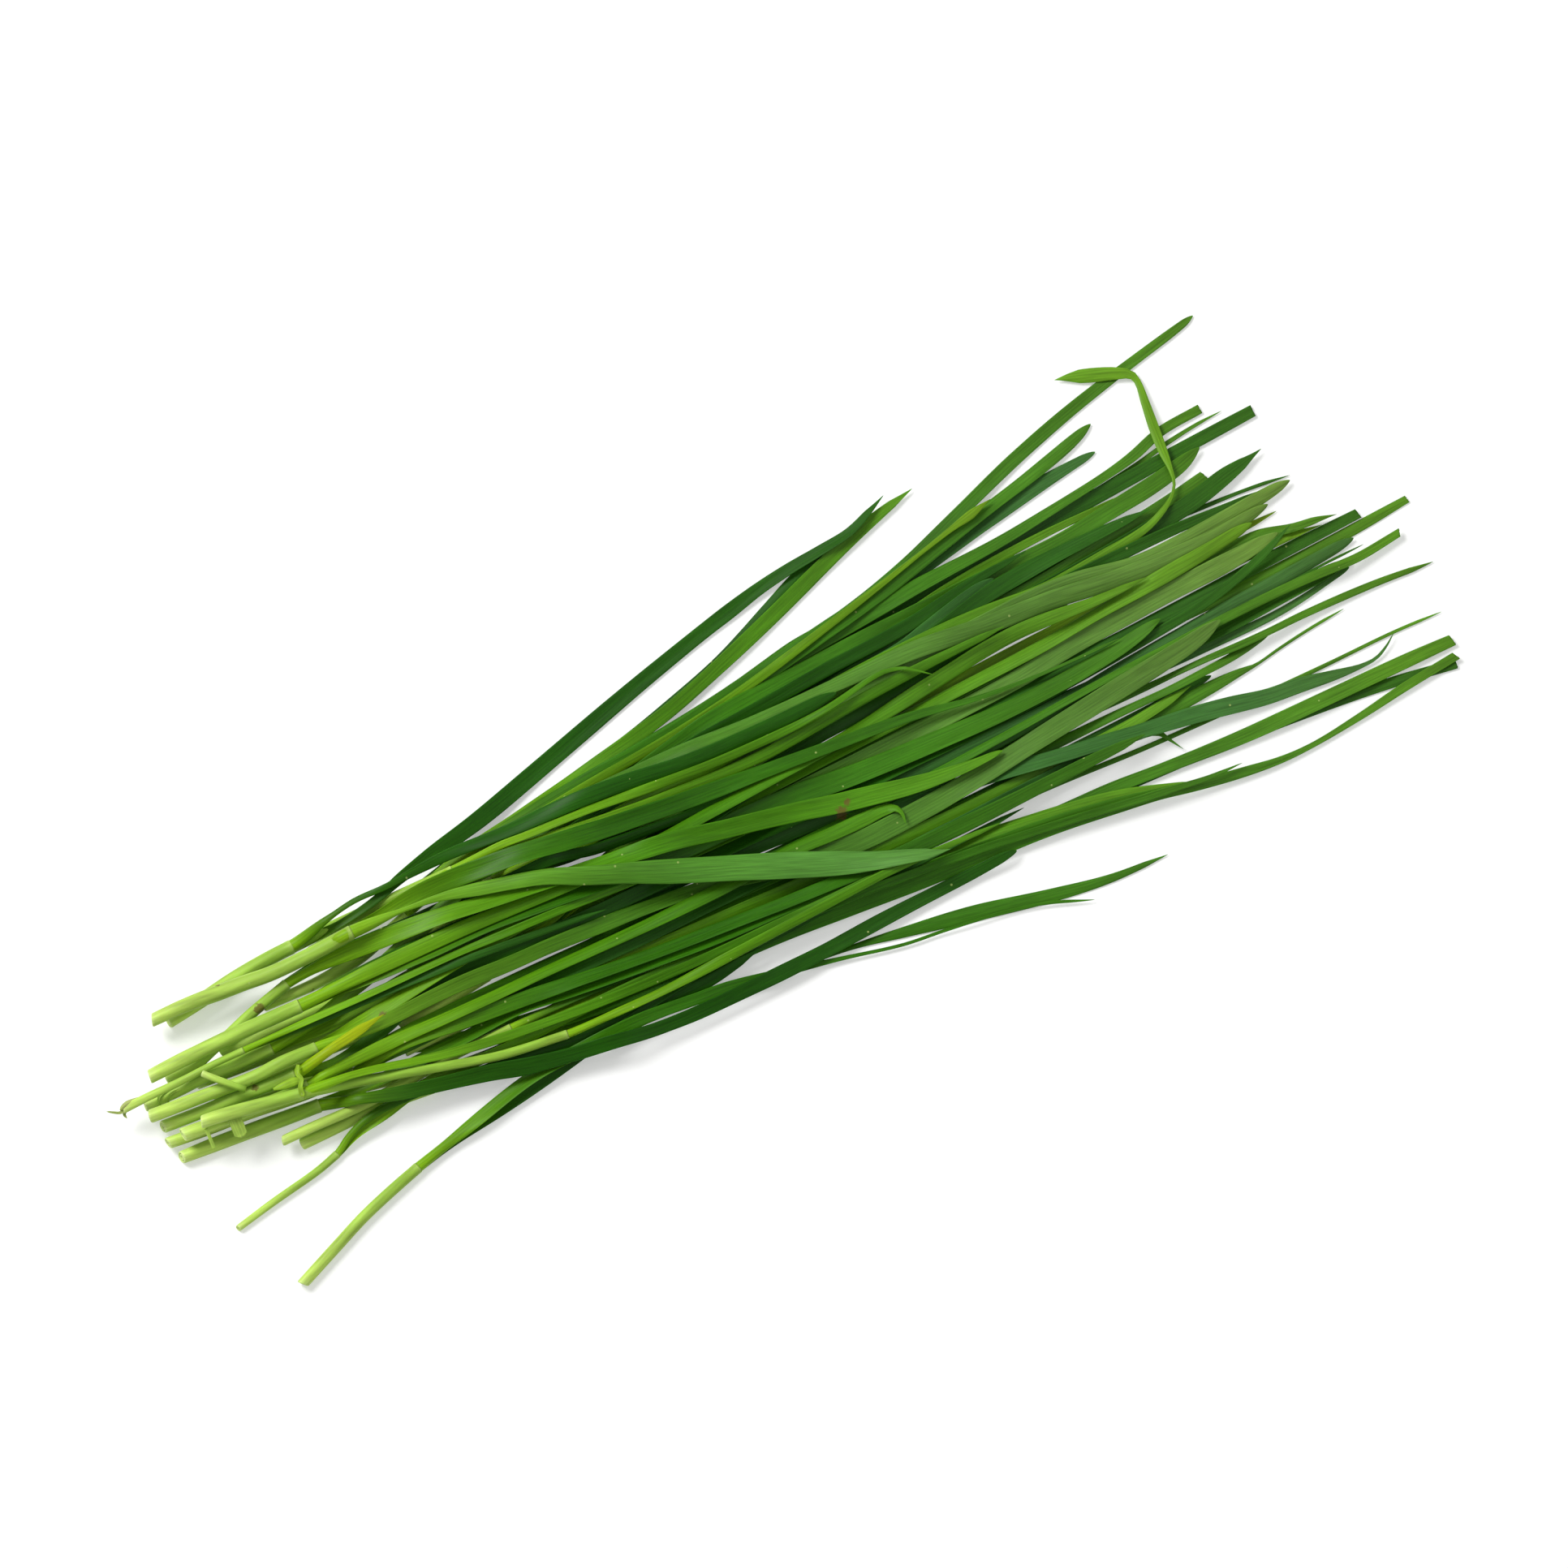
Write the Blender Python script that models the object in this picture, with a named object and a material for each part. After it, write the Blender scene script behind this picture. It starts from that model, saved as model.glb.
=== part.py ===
"""A loose bunch of cut garlic chives lying on its side, cut ends towards -X and leaf tips towards +X.

Every shoot is one fused solid: a pale round pseudostem with the strap leaves that leave it at its collar.
The shoots are laid down one after another, each resting on the floor and on the ones below it.
Routes are in millimetres, x along the bunch and y across it, and the meshes are in metres. They are drawn as
seen from 14 degrees off the vertical, and each is moved by what its own height makes of that.
"""

import math

import bmesh
import bpy
import numpy as np

# Leaves: thickness, clearance between shoots, and the width of the underside as a share of the top.
BLADE_THICKNESS = 0.65
LEAST_WIDTH = 0.8
GAP = 0.27
UNDER_EDGE = 0.64
MOST_LEAN = math.radians(24)

# A leaf starts inside its stem, is held by the collar for a while, and lies freely after that.
ROOT_DEPTH = 6.0
FREE_AFTER = 12.0
LEAF_PITCH = 1.1
ROOT_SHARE = 0.5
MOUTH_SHARE = 0.58
ROUND_TIP = 0.95

# Spacing of the stations along leaves and stems, and of the grid that holds the pile's height.
STATION_STEP = 15.0
STATION_TURN = math.radians(24)
STATION_APART = 4.0
STEM_STEP = 12.0
STEM_SIDES = 8
PER_SPAN = 24
CELL = 0.25
SAMPLE = 0.3
SAMPLES_ROUND = 65
FLOOR_LOW = (-215.0, -80.0)
FLOOR_SIZE = (420.0, 160.0)
LEAF_ROUNDS = 7
STEM_ROUNDS = 6
LIFT_ROUNDS = 80
DRAWN_ROUNDS = 3
SETTLED = 0.12
ROUNDING = 1e-3

# The direction the routes are seen from: its lean off the vertical as a slope, and its turn from -Y.
SEEN_SLOPE = 1 / math.tan(math.radians(76))
SEEN_TURN = math.radians(28)

# How a leaf leans: where its halves are felt, as parts of its width, and the distance between the two means.
FEELERS = (0.2, 0.35, 0.5)
FEELER_SPAN = 0.7
LEAN_ROUNDS = 2
# A span that starts at the collar may sink into its own stem over this first part of it.
COLLAR_PART = 0.35
LEAST_LIFT = 1e-4
FAR_BELOW = -50.0
# A stem without leaves ends where it ends: only this much is added beyond it.
BARE_AHEAD = 0.01
# Narrowest share of the width at a round tip, and the two stations that shape it, in widths from its end.
TIP_LEAST = 0.34
TIP_STATIONS = (0.9, 0.3)

# The buried shoots come first, and their leaves are slimmer where the rest covers them.
UNDER_SHOOTS = 11
SLIM = 0.8
SLIM_BELOW = -30.0
SLIM_ABOVE = 40.0

# Colours: leaf green as red and green, its range of blue, and the pale loose stalk. Metres in a millimetre.
LEAF_RED, LEAF_GREEN = 0.075, 0.19
LEAF_BLUE = (0.012, 0.024)
LIGHTNESS = (0.85, 1.15)
STALK_COLOUR = (0.46, 0.5, 0.2, 1)
ROUGHNESS = 0.45
MM = 1e-3

# Each shoot: its pseudostem as (x, y, width) from the cut end to the collar, then its leaves.
# A leaf is (tip, stem point it leaves, route as (x, y, width)): tips are round, cut square or tapered.
# The shoots stand in the order in which they lie, the lowest first.
SHOOTS = [
    ("shoot_01", [(-142, -21.8, 3.2), (-130, -24.5, 3.4), (-116, -28.5, 3)], [
        ("taper", 2, [(-98, -30, 2), (-40, -32.5, 2), (20, -33.5, 1.6), (60, -35, 1.3), (95, -38, 1.3),
            (130, -39.9, 1.4), (150, -40.6, 1.1), (170, -41.1, 0.9), (184.5, -42.2, 0.8)]),
        ("cut", 2, [(-98, -31.5, 3), (-60, -35, 3.4), (0, -38, 3.4), (50, -42, 3.4), (80, -44.5, 3),
            (120, -48, 3), (150, -51.6, 3), (165, -54, 3), (181, -57.2, 2.8)]),
        ("cut", 2, [(-98, -31, 3.6), (-60, -34, 4), (0, -37.5, 4), (60, -43, 3.4), (80, -43.9, 3.1),
            (95, -45.5, 3), (120, -47.9, 3.9), (150, -49.3, 4.4), (170, -50.1, 3.9), (183.3, -50.8, 3.2)])]),
    ("shoot_02", [(-180, -8.3, 3.4), (-166, -10.3, 3.4), (-150, -12.6, 3.4), (-137, -14.4, 3.2)], [
        ("taper", 3, [(-100, -25, 3), (-50, -31.5, 3), (0, -35, 3), (35, -38, 3), (60, -42.3, 3.2),
            (80, -46.8, 3.4), (95, -51.5, 2.2), (104, -54.6, 1)]),
        ("cut", 3, [(-100, -27, 4), (-60, -33.5, 5), (-20, -36.5, 5), (0, -38.8, 5.2), (30, -42.1, 5),
            (60, -45.4, 4), (80, -49, 3.6), (90, -51.2, 3), (100, -53.8, 3), (115, -57, 2.6),
            (125, -58.6, 1.9), (135, -59, 1.5), (150, -58, 1.9), (165, -56.4, 2.4), (182, -55.2, 2.4)])]),
    ("shoot_03", [(-128, -18, 3.2), (-113, -18.5, 3.3), (-97, -19.8, 2.9)], [
        ("round", 2, [(-80, -21, 3), (-40, -24.5, 3.6), (0, -27.5, 4), (30, -29, 3.6), (80, -29, 2.8),
            (119.3, -28.3, 2)]),
        ("taper", 2, [(-80, -20, 3), (-40, -22.5, 3.4), (40, -29.5, 3.4), (95, -31.8, 3.4),
            (118, -31.2, 3.4), (127, -31.2, 2), (131.5, -31.4, 0.9), (140, -30.3, 0.8), (150, -29.3, 0.8),
            (161, -28.7, 0.8)]),
        ("taper", 2, [(-80, -21.5, 2.4), (-40, -25, 2.6), (40, -30, 3), (90, -30.2, 3), (105, -29, 2.6),
            (113, -28.2, 1.2)]),
        ("round", 2, [(-80, -19, 2.6), (-40, -20.5, 3), (0, -23, 3), (40, -24.5, 2.6), (90, -25.8, 2.3),
            (110, -26.6, 2.3), (122, -26.5, 2.4), (131, -26, 2.2), (139.5, -25.2, 1.2)])]),
    ("shoot_04", [(-181, -3.7, 3.9), (-166, -5.5, 3.9), (-150, -7, 3.9), (-136, -8.6, 3.4)], [
        ("taper", 3, [(-100, -8, 2.4), (-40, -15, 2.6), (40, -18.5, 2.6), (90, -22, 2.2),
            (104, -22.9, 1.8), (113, -23.2, 1.8), (121, -23.6, 2.1), (130, -24.3, 2.5), (140, -24.7, 2.3),
            (150, -24.9, 2.2), (165, -25.8, 2), (175, -26.7, 1.8), (185, -28, 1.4), (189.4, -28.5, 1)]),
        ("round", 3, [(-100, -6, 2.4), (-40, -11, 2.6), (40, -16, 2.6), (120, -20.3, 2.6),
            (145, -21.2, 2), (168, -18.9, 1.4)]),
        ("round", 3, [(-100, -4, 3.4), (-40, -8, 4), (40, -13, 4), (125, -17.5, 4.6), (150, -17.4, 4.4),
            (169, -17.2, 3)])]),
    ("shoot_05", [(-183, 1.1, 3.9), (-166, -0.9, 3.9), (-150, -2.4, 3.9), (-137, -3.6, 3.5)], [
        ("cut", 3, [(-100, 2, 2.4), (-40, -3, 2.4), (40, -7, 2.2), (100, -9, 2.8), (150, -10.2, 3.3),
            (175, -9.9, 3.1), (191.5, -9.2, 2.1)]),
        ("round", 3, [(-100, 0, 3.6), (-40, -9, 4), (30, -15, 4), (80, -16, 4), (100, -14.4, 4),
            (130, -13.2, 3.6), (150, -12.9, 3.6), (173, -12.1, 2.8)]),
        ("cut", 3, [(-100, 3, 3.6), (-40, -1, 4), (40, -5, 4), (90, -7, 4), (130, -6.8, 4),
            (150, -6.5, 3.8), (177.5, -6.5, 2.9)])]),
    ("shoot_06", [(-173, 4.8, 3.5), (-162, 4.6, 3.6), (-150, 4.2, 3.6), (-137, 3.2, 3.3)], [
        ("taper", 3, [(-100, 9, 2), (-40, 10.5, 2), (40, 14, 2), (100, 17.5, 1.8), (127, 16.6, 1.6),
            (140, 15.4, 1.3), (151, 14.4, 1), (158.6, 13.4, 1), (166, 12.1, 0.8)]),
        ("taper", 3, [(-100, 10, 2), (-40, 20, 2), (40, 28.5, 1.8), (110, 33, 1.5), (130, 34.8, 1.4),
            (140, 36.3, 1.3), (150, 37.2, 1), (158, 37.4, 0.8)]),
        ("cut", 3, [(-100, 11.5, 3.6), (-40, 22, 4), (10, 27, 4), (60, 30, 4), (100, 31.6, 4),
            (130, 32.4, 4), (140, 32.8, 3.7), (165.7, 33.3, 3.3)]),
        ("taper", 3, [(-100, 10.8, 2), (-40, 20.5, 2.6), (0, 23.8, 2.8), (30, 24.8, 2.8), (50, 26, 2.6),
            (70, 28.2, 2.6), (90, 29.2, 2.2), (110, 28.9, 1.8), (126, 28.4, 1)])]),
    ("shoot_07", [(-157, 11.6, 3), (-148, 11, 3.2), (-140, 10.6, 3.4), (-126, 11.6, 3.8), (-110, 16, 3)], [
        ("taper", 4, [(-90, 22.5, 3), (-50, 28, 3.4), (-20, 33.6, 3.4), (0, 38.8, 3.2), (10, 42.2, 3.2),
            (20, 46.2, 3.2), (30, 50.2, 3), (40, 53.4, 2.6), (48, 55, 2), (55.8, 56.2, 1)]),
        ("round", 4, [(-90, 20, 4), (-50, 25, 4.6), (0, 28.5, 5), (40, 33, 5), (60, 36.8, 4.6),
            (80, 40, 4.8), (90, 41.2, 4.8), (100, 42.2, 4.3), (110, 42.9, 3.2), (121.3, 43.5, 1.8)]),
        ("round", 4, [(-90, 21, 4), (-60, 24, 4.4), (-30, 26.4, 4.2), (-12, 28, 4), (0, 29.8, 4),
            (20, 32.8, 4), (30, 33.5, 3.8), (45, 35.9, 3.6), (60, 39.6, 3.5), (80, 45.8, 3.3),
            (100, 52, 3.6), (120, 57.1, 3.4), (140, 61, 2.9), (160, 64.5, 2.1), (164, 65.4, 1.3)])]),
    ("shoot_08", [(-138, 19.2, 3.2), (-122, 19.6, 3.3), (-106, 21, 2.9)], [
        ("taper", 2, [(-88, 24, 3), (-70, 26, 3.2), (-50, 28.5, 3.4), (-20, 33.1, 3.2), (0, 38.2, 3.2),
            (20, 44.1, 3.4), (30, 47.3, 3.4), (40, 50.5, 3.2), (50, 53.5, 3), (60, 55.9, 2.3),
            (71.3, 58.1, 1)]),
        ("cut", 2, [(-88, 22, 3.6), (-50, 25.5, 4), (20, 31, 4), (60, 32.6, 3.8), (85, 33, 3.4),
            (100, 34.1, 3.1), (120, 35.9, 2.9), (130, 37.4, 3.1), (140, 40.1, 2.7), (152.9, 40.7, 2.6)]),
        ("round", 2, [(-88, 23, 4), (-50, 26, 4.2), (-20, 27.2, 4), (0, 29.4, 4.2), (20, 32, 4.2),
            (40, 34.6, 4), (60, 38, 3.6), (80, 41.8, 3.2), (90, 43.6, 3.2), (100, 45.4, 3.4),
            (110, 47.5, 3.6), (117, 49.2, 3.3), (124, 51.2, 1.7)]),
        ("taper", 2, [(-88, 22.5, 2), (-50, 25, 2.2), (-10, 27.6, 2), (20, 32, 2), (50, 37.6, 1.4),
            (65, 40.6, 1), (75, 42.6, 1.4), (82, 43.8, 2.4), (86, 44.6, 2), (89, 45.2, 0.9)])]),
    ("shoot_09", [(-124, 6.8, 3), (-108, 7.5, 3.2), (-92, 9, 2.8)], [
        ("taper", 2, [(-72, 12, 3), (-30, 19, 3.4), (10, 21.6, 3.6), (30, 22.2, 3.6), (45, 21.6, 2.8),
            (57, 20.2, 1.1)]),
        ("taper", 2, [(-72, 11.5, 3), (-30, 15.5, 3.4), (30, 18.5, 3.8), (70, 20.3, 4), (100, 20, 3.8),
            (118, 20.6, 1.6)]),
        ("cut", 2, [(-72, 11, 3.5), (-30, 14.5, 3.5), (30, 15.5, 3.5), (90, 17.5, 3.5), (110, 19.3, 3.5),
            (130, 21, 3.5), (145, 22.9, 3.5)]),
        ("round", 2, [(-72, 13.5, 4), (-50, 18.5, 4), (-10, 24.5, 4), (40, 26, 4), (60, 26, 3.8),
            (80, 25.9, 3.6), (100, 25.4, 3.8), (120, 26.7, 4.6), (130, 27.5, 4.7), (140, 29, 4.1),
            (147.5, 31, 2.6)]),
        ("taper", 2, [(-72, 12.5, 3), (-30, 20, 3), (20, 23, 3), (52, 24, 3), (72, 26.3, 2.4),
            (91, 27.4, 1)])]),
    ("shoot_10", [(-112, 12.5, 3), (-98, 13, 3.2), (-84, 13.5, 2.8)], [
        ("taper", 2, [(-66, 10.8, 4), (-30, 10.5, 4), (40, 13, 4.4), (100, 15.5, 4.5), (130, 17.2, 4.6),
            (140, 18.4, 4.8), (150, 20.4, 4.4), (157, 21.5, 2.6), (162.6, 22.6, 1.1)]),
        ("round", 2, [(-66, 14.5, 3), (-40, 18, 3), (10, 18.5, 3), (47, 19, 3), (55, 20.5, 3),
            (70, 23.4, 3), (79, 24.6, 2.4)]),
        ("taper", 2, [(-66, 13.5, 3), (-30, 17, 3), (30, 17.5, 3), (55, 18.2, 3), (66, 20, 3.2),
            (80, 21.8, 4), (95, 22.3, 4.4), (110, 22.2, 3.8), (127, 21.8, 1.4)]),
        ("taper", 2, [(-66, 12.3, 4), (-30, 14, 4.4), (30, 17, 5), (70, 16.5, 4.4), (90, 14.7, 4),
            (100, 15.2, 3.6), (110, 16, 3.2), (120, 16.9, 2.4), (126, 18.2, 1.9), (131, 20.3, 1.5),
            (134.3, 22.6, 0.9), (136.4, 25.3, 0.8), (137.3, 29, 1.2), (138, 35, 2.5), (139, 42, 2.8),
            (140.4, 50, 2.3), (141.3, 55.5, 1.8), (140.9, 58, 2.2), (137.5, 60.5, 3.2), (130, 63.8, 3.8),
            (124.5, 66, 2.8), (121, 67.1, 1.3)])]),
    ("shoot_11", [(-126, -11.5, 3), (-112, -11, 3.2), (-98, -10, 2.8)], [
        ("taper", 2, [(-75, -4, 2.6), (-40, 3, 3.4), (0, 6.8, 3.8), (40, 7.9, 3.8), (80, 9.2, 3.2),
            (100, 9.5, 1.6)]),
        ("taper", 2, [(-75, -6.5, 2.4), (-30, -3, 2.6), (40, -2, 2.6), (120, -2.5, 3), (150, -2.8, 3),
            (160, -3.7, 2), (167, -4.6, 1)]),
        ("taper", 2, [(-75, -6, 3), (-30, -1, 3), (40, 0, 3), (100, 0.5, 3), (135, 1, 3), (150, 0.9, 3.4),
            (160, -1.6, 2.8), (167, -2.7, 2.2), (172, -3.9, 1.1)]),
        ("taper", 2, [(-75, -5, 2.2), (-30, 1.5, 2.2), (40, 3, 2.6), (100, 4, 2.4), (140, 4.5, 2),
            (157.7, 4.8, 1.2)]),
        ("taper", 2, [(-75, -4.5, 2.4), (-30, 6, 3), (20, 11, 3.4), (60, 13.5, 3.6), (100, 14.3, 3.6),
            (130, 13.5, 3), (145, 12.4, 2.1), (158.6, 11.7, 1.1)]),
        ("round", 2, [(-75, -3, 4), (-40, 7, 4.2), (20, 12, 4.5), (60, 14, 4.5), (95, 13.8, 4.5),
            (115, 9.8, 4.5), (130, 9.3, 4.4), (150, 9.9, 4.2), (159, 10.5, 3.2), (165.3, 10.9, 1.8)])]),
    ("shoot_12", [(-165.5, -28, 3.4), (-155, -28.3, 3.4), (-142, -28.8, 3.3), (-126, -31, 2.9)], [
        ("taper", 3, [(-100, -35, 2.6), (-60, -37.5, 2.8), (-28, -37, 2.5), (0, -36.8, 2.2),
            (40, -37.3, 2), (55.5, -37.2, 1)]),
        ("taper", 3, [(-105, -36, 2), (-60, -44.5, 1.4), (-8, -49.5, 1.2), (10, -53, 3), (30, -57.5, 4.4),
            (50, -62.7, 3.6), (67, -66.2, 2.4), (84.5, -67.7, 0.9)])]),
    ("shoot_13", [(-169.5, -24.7, 2.9), (-150, -25.8, 2.9), (-135, -26, 3), (-117, -25.3, 2.9),
        (-99, -26, 2.7)], [
        ("taper", 4, [(-80, -28, 2.4), (-30, -34, 2.4), (40, -42, 2.2), (90, -51, 2), (105, -53.6, 1.2),
            (115, -54.3, 0.8)]),
        ("round", 4, [(-80, -26.5, 2.8), (-60, -28, 2.8), (-30, -31, 3), (10, -32.6, 3.4), (30, -33, 3.8),
            (60, -33, 4), (85, -33, 3.4)])]),
    ("shoot_14", [(-192, -40.8, 1.9), (-180, -38.8, 2.1), (-165, -36.7, 2.2), (-158, -35, 2.3)], [
        ("taper", 3, [(-150, -32.4, 3.2), (-141, -31, 3.4), (-130, -29.3, 3.2), (-100, -30.5, 2.8),
            (-60, -31, 2.6), (-20, -34, 2), (10, -36, 1.2)]),
        ("taper", 3, [(-153, -32.2, 2.2), (-147, -30.2, 2.2), (-140, -29.5, 2.4), (-130, -30, 2.6),
            (-120, -31.6, 2.6), (-100, -34.8, 2.8), (-80, -38, 3.2), (-60, -39.6, 3.6), (-45, -39.8, 3.4),
            (-35, -39, 2.4), (-27.5, -38.2, 1.1)])]),
    ("shoot_15", [(-183.5, -63, 3.2), (-170, -57.9, 3.2), (-160, -54.2, 3.2), (-150, -51.3, 3.2),
        (-140, -48.8, 3.1)], [
        ("taper", 4, [(-125, -46.5, 3), (-110, -45, 3), (-90, -42.5, 2.6), (-60, -38, 2), (-30, -36, 1.4)]),
        ("taper", 4, [(-120, -44.8, 4), (-100, -41, 4), (-70, -40.4, 3.6), (-60, -41.2, 3.3),
            (-51, -42.5, 3.2), (-41, -43.8, 3), (-26, -47.2, 2.3), (-10, -51.2, 1.2), (8, -56, 0.9),
            (20, -57.8, 0.9), (45, -63, 0.9), (60.5, -69.5, 0.8)])]),
    ("shoot_16", [(-196.5, -15.7, 3.6), (-187, -16.7, 4.1), (-175, -18.1, 4.3), (-165, -19.4, 4.2),
        (-156, -20.5, 3.9)], [
        ("taper", 4, [(-140, -21.8, 3.6), (-125, -22.3, 4), (-110, -22.4, 4), (-95, -22.2, 4),
            (-80, -24.8, 3.4), (-60, -27.8, 3), (-30, -31.2, 3), (20, -33, 3), (60, -33.6, 2.6),
            (90, -34, 1.6), (98.5, -36, 1.4), (100.3, -39, 1.1), (102.5, -43.2, 0.8)]),
        ("round", 4, [(-147, -23.7, 3.3), (-139, -26.5, 3.7), (-130, -29.2, 3.9), (-110, -34.4, 4.4),
            (-100, -37.6, 4.6), (-90, -39.9, 3.9), (-80, -41.9, 3.8), (-70, -43.9, 3.7),
            (-60, -45.5, 3.6), (-50, -46.4, 3.8), (-20, -47.3, 4), (10, -47, 3.8), (48, -47, 2.6)])]),
    ("shoot_17", [(-198, -10.6, 3.3), (-187, -12.1, 3.5), (-173, -13.7, 3.5), (-158, -15.7, 3.5),
        (-143, -17, 3.4)], [
        ("taper", 4, [(-120, -14, 2.4), (-60, -17, 2.4), (0, -19, 2), (60, -18, 1.8), (120, -16.5, 1.4),
            (155, -15, 0.9), (174.5, -15, 0.8)]),
        ("taper", 4, [(-125, -17, 3.4), (-60, -20, 4), (0, -21, 4.4), (27, -21.3, 4.6), (50, -24.4, 4.6),
            (70, -28.6, 4.6), (90, -32.4, 4.6), (110, -36.1, 5), (120, -38.4, 4.9), (130, -40.9, 4.2),
            (140, -42.3, 4), (150, -44.3, 2.7), (157, -45.4, 1.3), (162, -45.4, 0.9), (166, -43.8, 0.8),
            (170, -41.2, 0.8)]),
        ("taper", 4, [(-125, -16, 4), (-110, -18, 4), (-90, -20.6, 4), (-70, -23.6, 4), (-50, -26.3, 4),
            (-30, -28.5, 4), (-10, -30.6, 4), (10, -32.3, 4), (40, -33.7, 4.1), (60, -34, 3.6),
            (80, -34.2, 3), (95, -34.5, 1.8)])]),
    ("shoot_18", [(-190, 4.9, 3.4), (-180, 5.8, 3.4), (-170, 8.6, 3.2), (-160, 11.5, 3.2),
        (-148, 14.2, 3.1)], [
        ("taper", 4, [(-134, 15.7, 3), (-110, 14.3, 3), (-60, 9, 3), (-30, 5, 2.4), (0, 3, 1.4)]),
        ("round", 4, [(-134, 14.4, 4.2), (-110, 12.2, 5), (-90, 9.3, 5), (-70, 6, 5), (-50, 2.8, 5),
            (-30, -1, 5), (-20, -3.8, 5), (-10, -6.3, 5), (0, -8.9, 5.2), (10, -11.8, 5.2),
            (20, -14.3, 5.2), (30, -16.8, 4.8), (40, -18.6, 3.8), (50, -19.7, 2.6), (58, -20, 1.6)])]),
    ("shoot_19", [(-193, -10.2, 4), (-180, -11.9, 3.8), (-168, -13.2, 3.6), (-156, -14.2, 3.4)], [
        ("cut", 3, [(-140, -13.5, 2.6), (-100, -13.5, 2.8), (-40, -16, 2.8), (40, -17, 2.6),
            (100, -15.5, 2.5), (150, -16, 2.5), (170, -17.5, 2.5), (185, -16.7, 2.2)]),
        ("taper", 3, [(-142, -13.6, 3.4), (-128, -14, 3.6), (-110, -15, 3.5), (-80, -16.3, 3.5),
            (-40, -18, 3.8), (-5, -18, 4), (5, -18.8, 4), (15, -19.3, 3.9), (20, -19.4, 3.4),
            (23.6, -20.3, 2.6), (24.9, -22.4, 1.8), (24.5, -25.8, 1.4)])]),
    ("shoot_20", [(-198.6, 1.6, 2.9), (-184, 1.4, 3.4), (-171, 0.6, 3.9), (-160, 0.1, 3.9)], [
        ("round", 3, [(-148, -1, 5), (-110, -0.5, 5), (-70, -1.5, 5), (-30, -3, 5), (20, -4, 5),
            (70, -4, 5), (90, -2.5, 5), (120, -1.8, 5), (140, -1.7, 4.8), (155, -0.9, 2.8)]),
        ("round", 3, [(-145, 1.5, 3.4), (-110, 10, 4), (-80, 18, 4.6), (-50, 22.5, 4.6), (-30, 22.2, 4.4),
            (0, 20, 3.6), (30, 18.1, 4.2), (50, 16.8, 4.8), (70, 13.8, 5), (90, 11.6, 5), (110, 8.3, 5),
            (135, 6.2, 4.6), (156.5, 7.6, 2.4)])]),
    ("shoot_21", [(-197, -5.6, 3.6), (-180, -7.4, 3.7), (-165, -9.3, 3.7), (-158, -10.1, 3.6)], [
        ("taper", 3, [(-146, -12, 4), (-130, -9.5, 4), (-120, -6.5, 4), (-110, -5, 4), (-90, -6, 4),
            (-70, -7.7, 4), (-30, -9, 4), (20, -11, 4), (70, -12, 3.4), (110, -10.5, 2.6),
            (130, -8.9, 2.4), (148, -4.6, 2.2), (159.3, -0.4, 1)]),
        ("taper", 3, [(-150, -9, 2.6), (-143, -8, 3), (-136, -7, 2.6), (-128, -6.1, 1.1)])]),
    ("shoot_22", [(-198.5, -1.3, 3.8), (-184, -2.9, 3.7), (-168, -4.6, 3.6), (-159, -5.4, 3.6),
        (-149, -6, 3.5)], [
        ("round", 4, [(-136, -5, 4), (-100, -2, 4), (-50, 0, 4), (0, 1, 4), (50, 1, 4), (80, 1.2, 4),
            (100, 2.2, 4), (130, 3.5, 4), (150, 5, 2.8)]),
        ("round", 4, [(-136, -7.4, 3.4), (-108, -8.5, 4), (-90, -10.5, 4), (-70, -12, 4), (-50, -13.8, 4),
            (-33, -16, 4.4), (-10, -21, 5.2), (10, -24.2, 5.4), (30, -24.4, 5.6), (50, -23.4, 5.6),
            (70, -21.6, 5.6), (90, -19.9, 5.6), (110, -18.3, 5.4), (120, -17.2, 4.6), (129, -15.4, 2.6)])]),
    ("shoot_23", [(-204.2, 3.8, 2.4), (-192, 3.6, 2.3), (-178, 3.4, 2), (-167, 3, 2)], [
        ("taper", 3, [(-155, 1.8, 2), (-135, 0, 2), (-110, -2, 2), (-90, -4.3, 2), (-70, -7, 1.6),
            (-60, -8.5, 1)]),
        ("taper", 3, [(-155, 2.6, 2), (-130, 1, 2.2), (-100, -0.5, 2.2), (-70, -3, 2), (-50, -5, 2),
            (-20, -7, 1.6), (10, -8, 1)])]),
    ("shoot_24", [(-186.5, -9.4, 3.6), (-180, -10.5, 3.8), (-170, -12.7, 3.8), (-158.5, -15.4, 3.5),
        (-140, -20.5, 2.9), (-120, -27, 2.7), (-105, -31.5, 2.6), (-86, -34.8, 2.5)], [
        ("taper", 3, [(-140, -18.2, 2.4), (-115, -24.8, 2.5), (-90, -29, 2.5), (-50, -33, 2.5),
            (-10, -34.5, 2), (20, -35, 1.2)]),
        ("taper", 7, [(-72, -35.8, 2.6), (-60, -36.3, 2.6), (-20, -36, 2.6), (20, -36, 2), (48, -38, 1)])]),
    ("shoot_25", [(-193.6, 8.4, 3.9), (-180, 8.5, 4.2), (-162, 7.7, 4.2), (-147.5, 6.8, 4)], [
        ("round", 3, [(-130, 5.8, 5), (-110, 4.6, 6), (-90, 3.4, 6), (-70, 1, 6), (-40, -2.5, 6),
            (0, -4.5, 6), (20, -7, 6), (40, -8.8, 6), (70, -10.7, 5.4), (100, -9.5, 4.6),
            (114.5, -7.3, 2.8)]),
        ("taper", 3, [(-133, 8.2, 2), (-100, 7.2, 2), (-60, 3, 1.8), (-27, -0.5, 1.6), (-15, 0.8, 1.4),
            (0, 2, 0.9)]),
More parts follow.
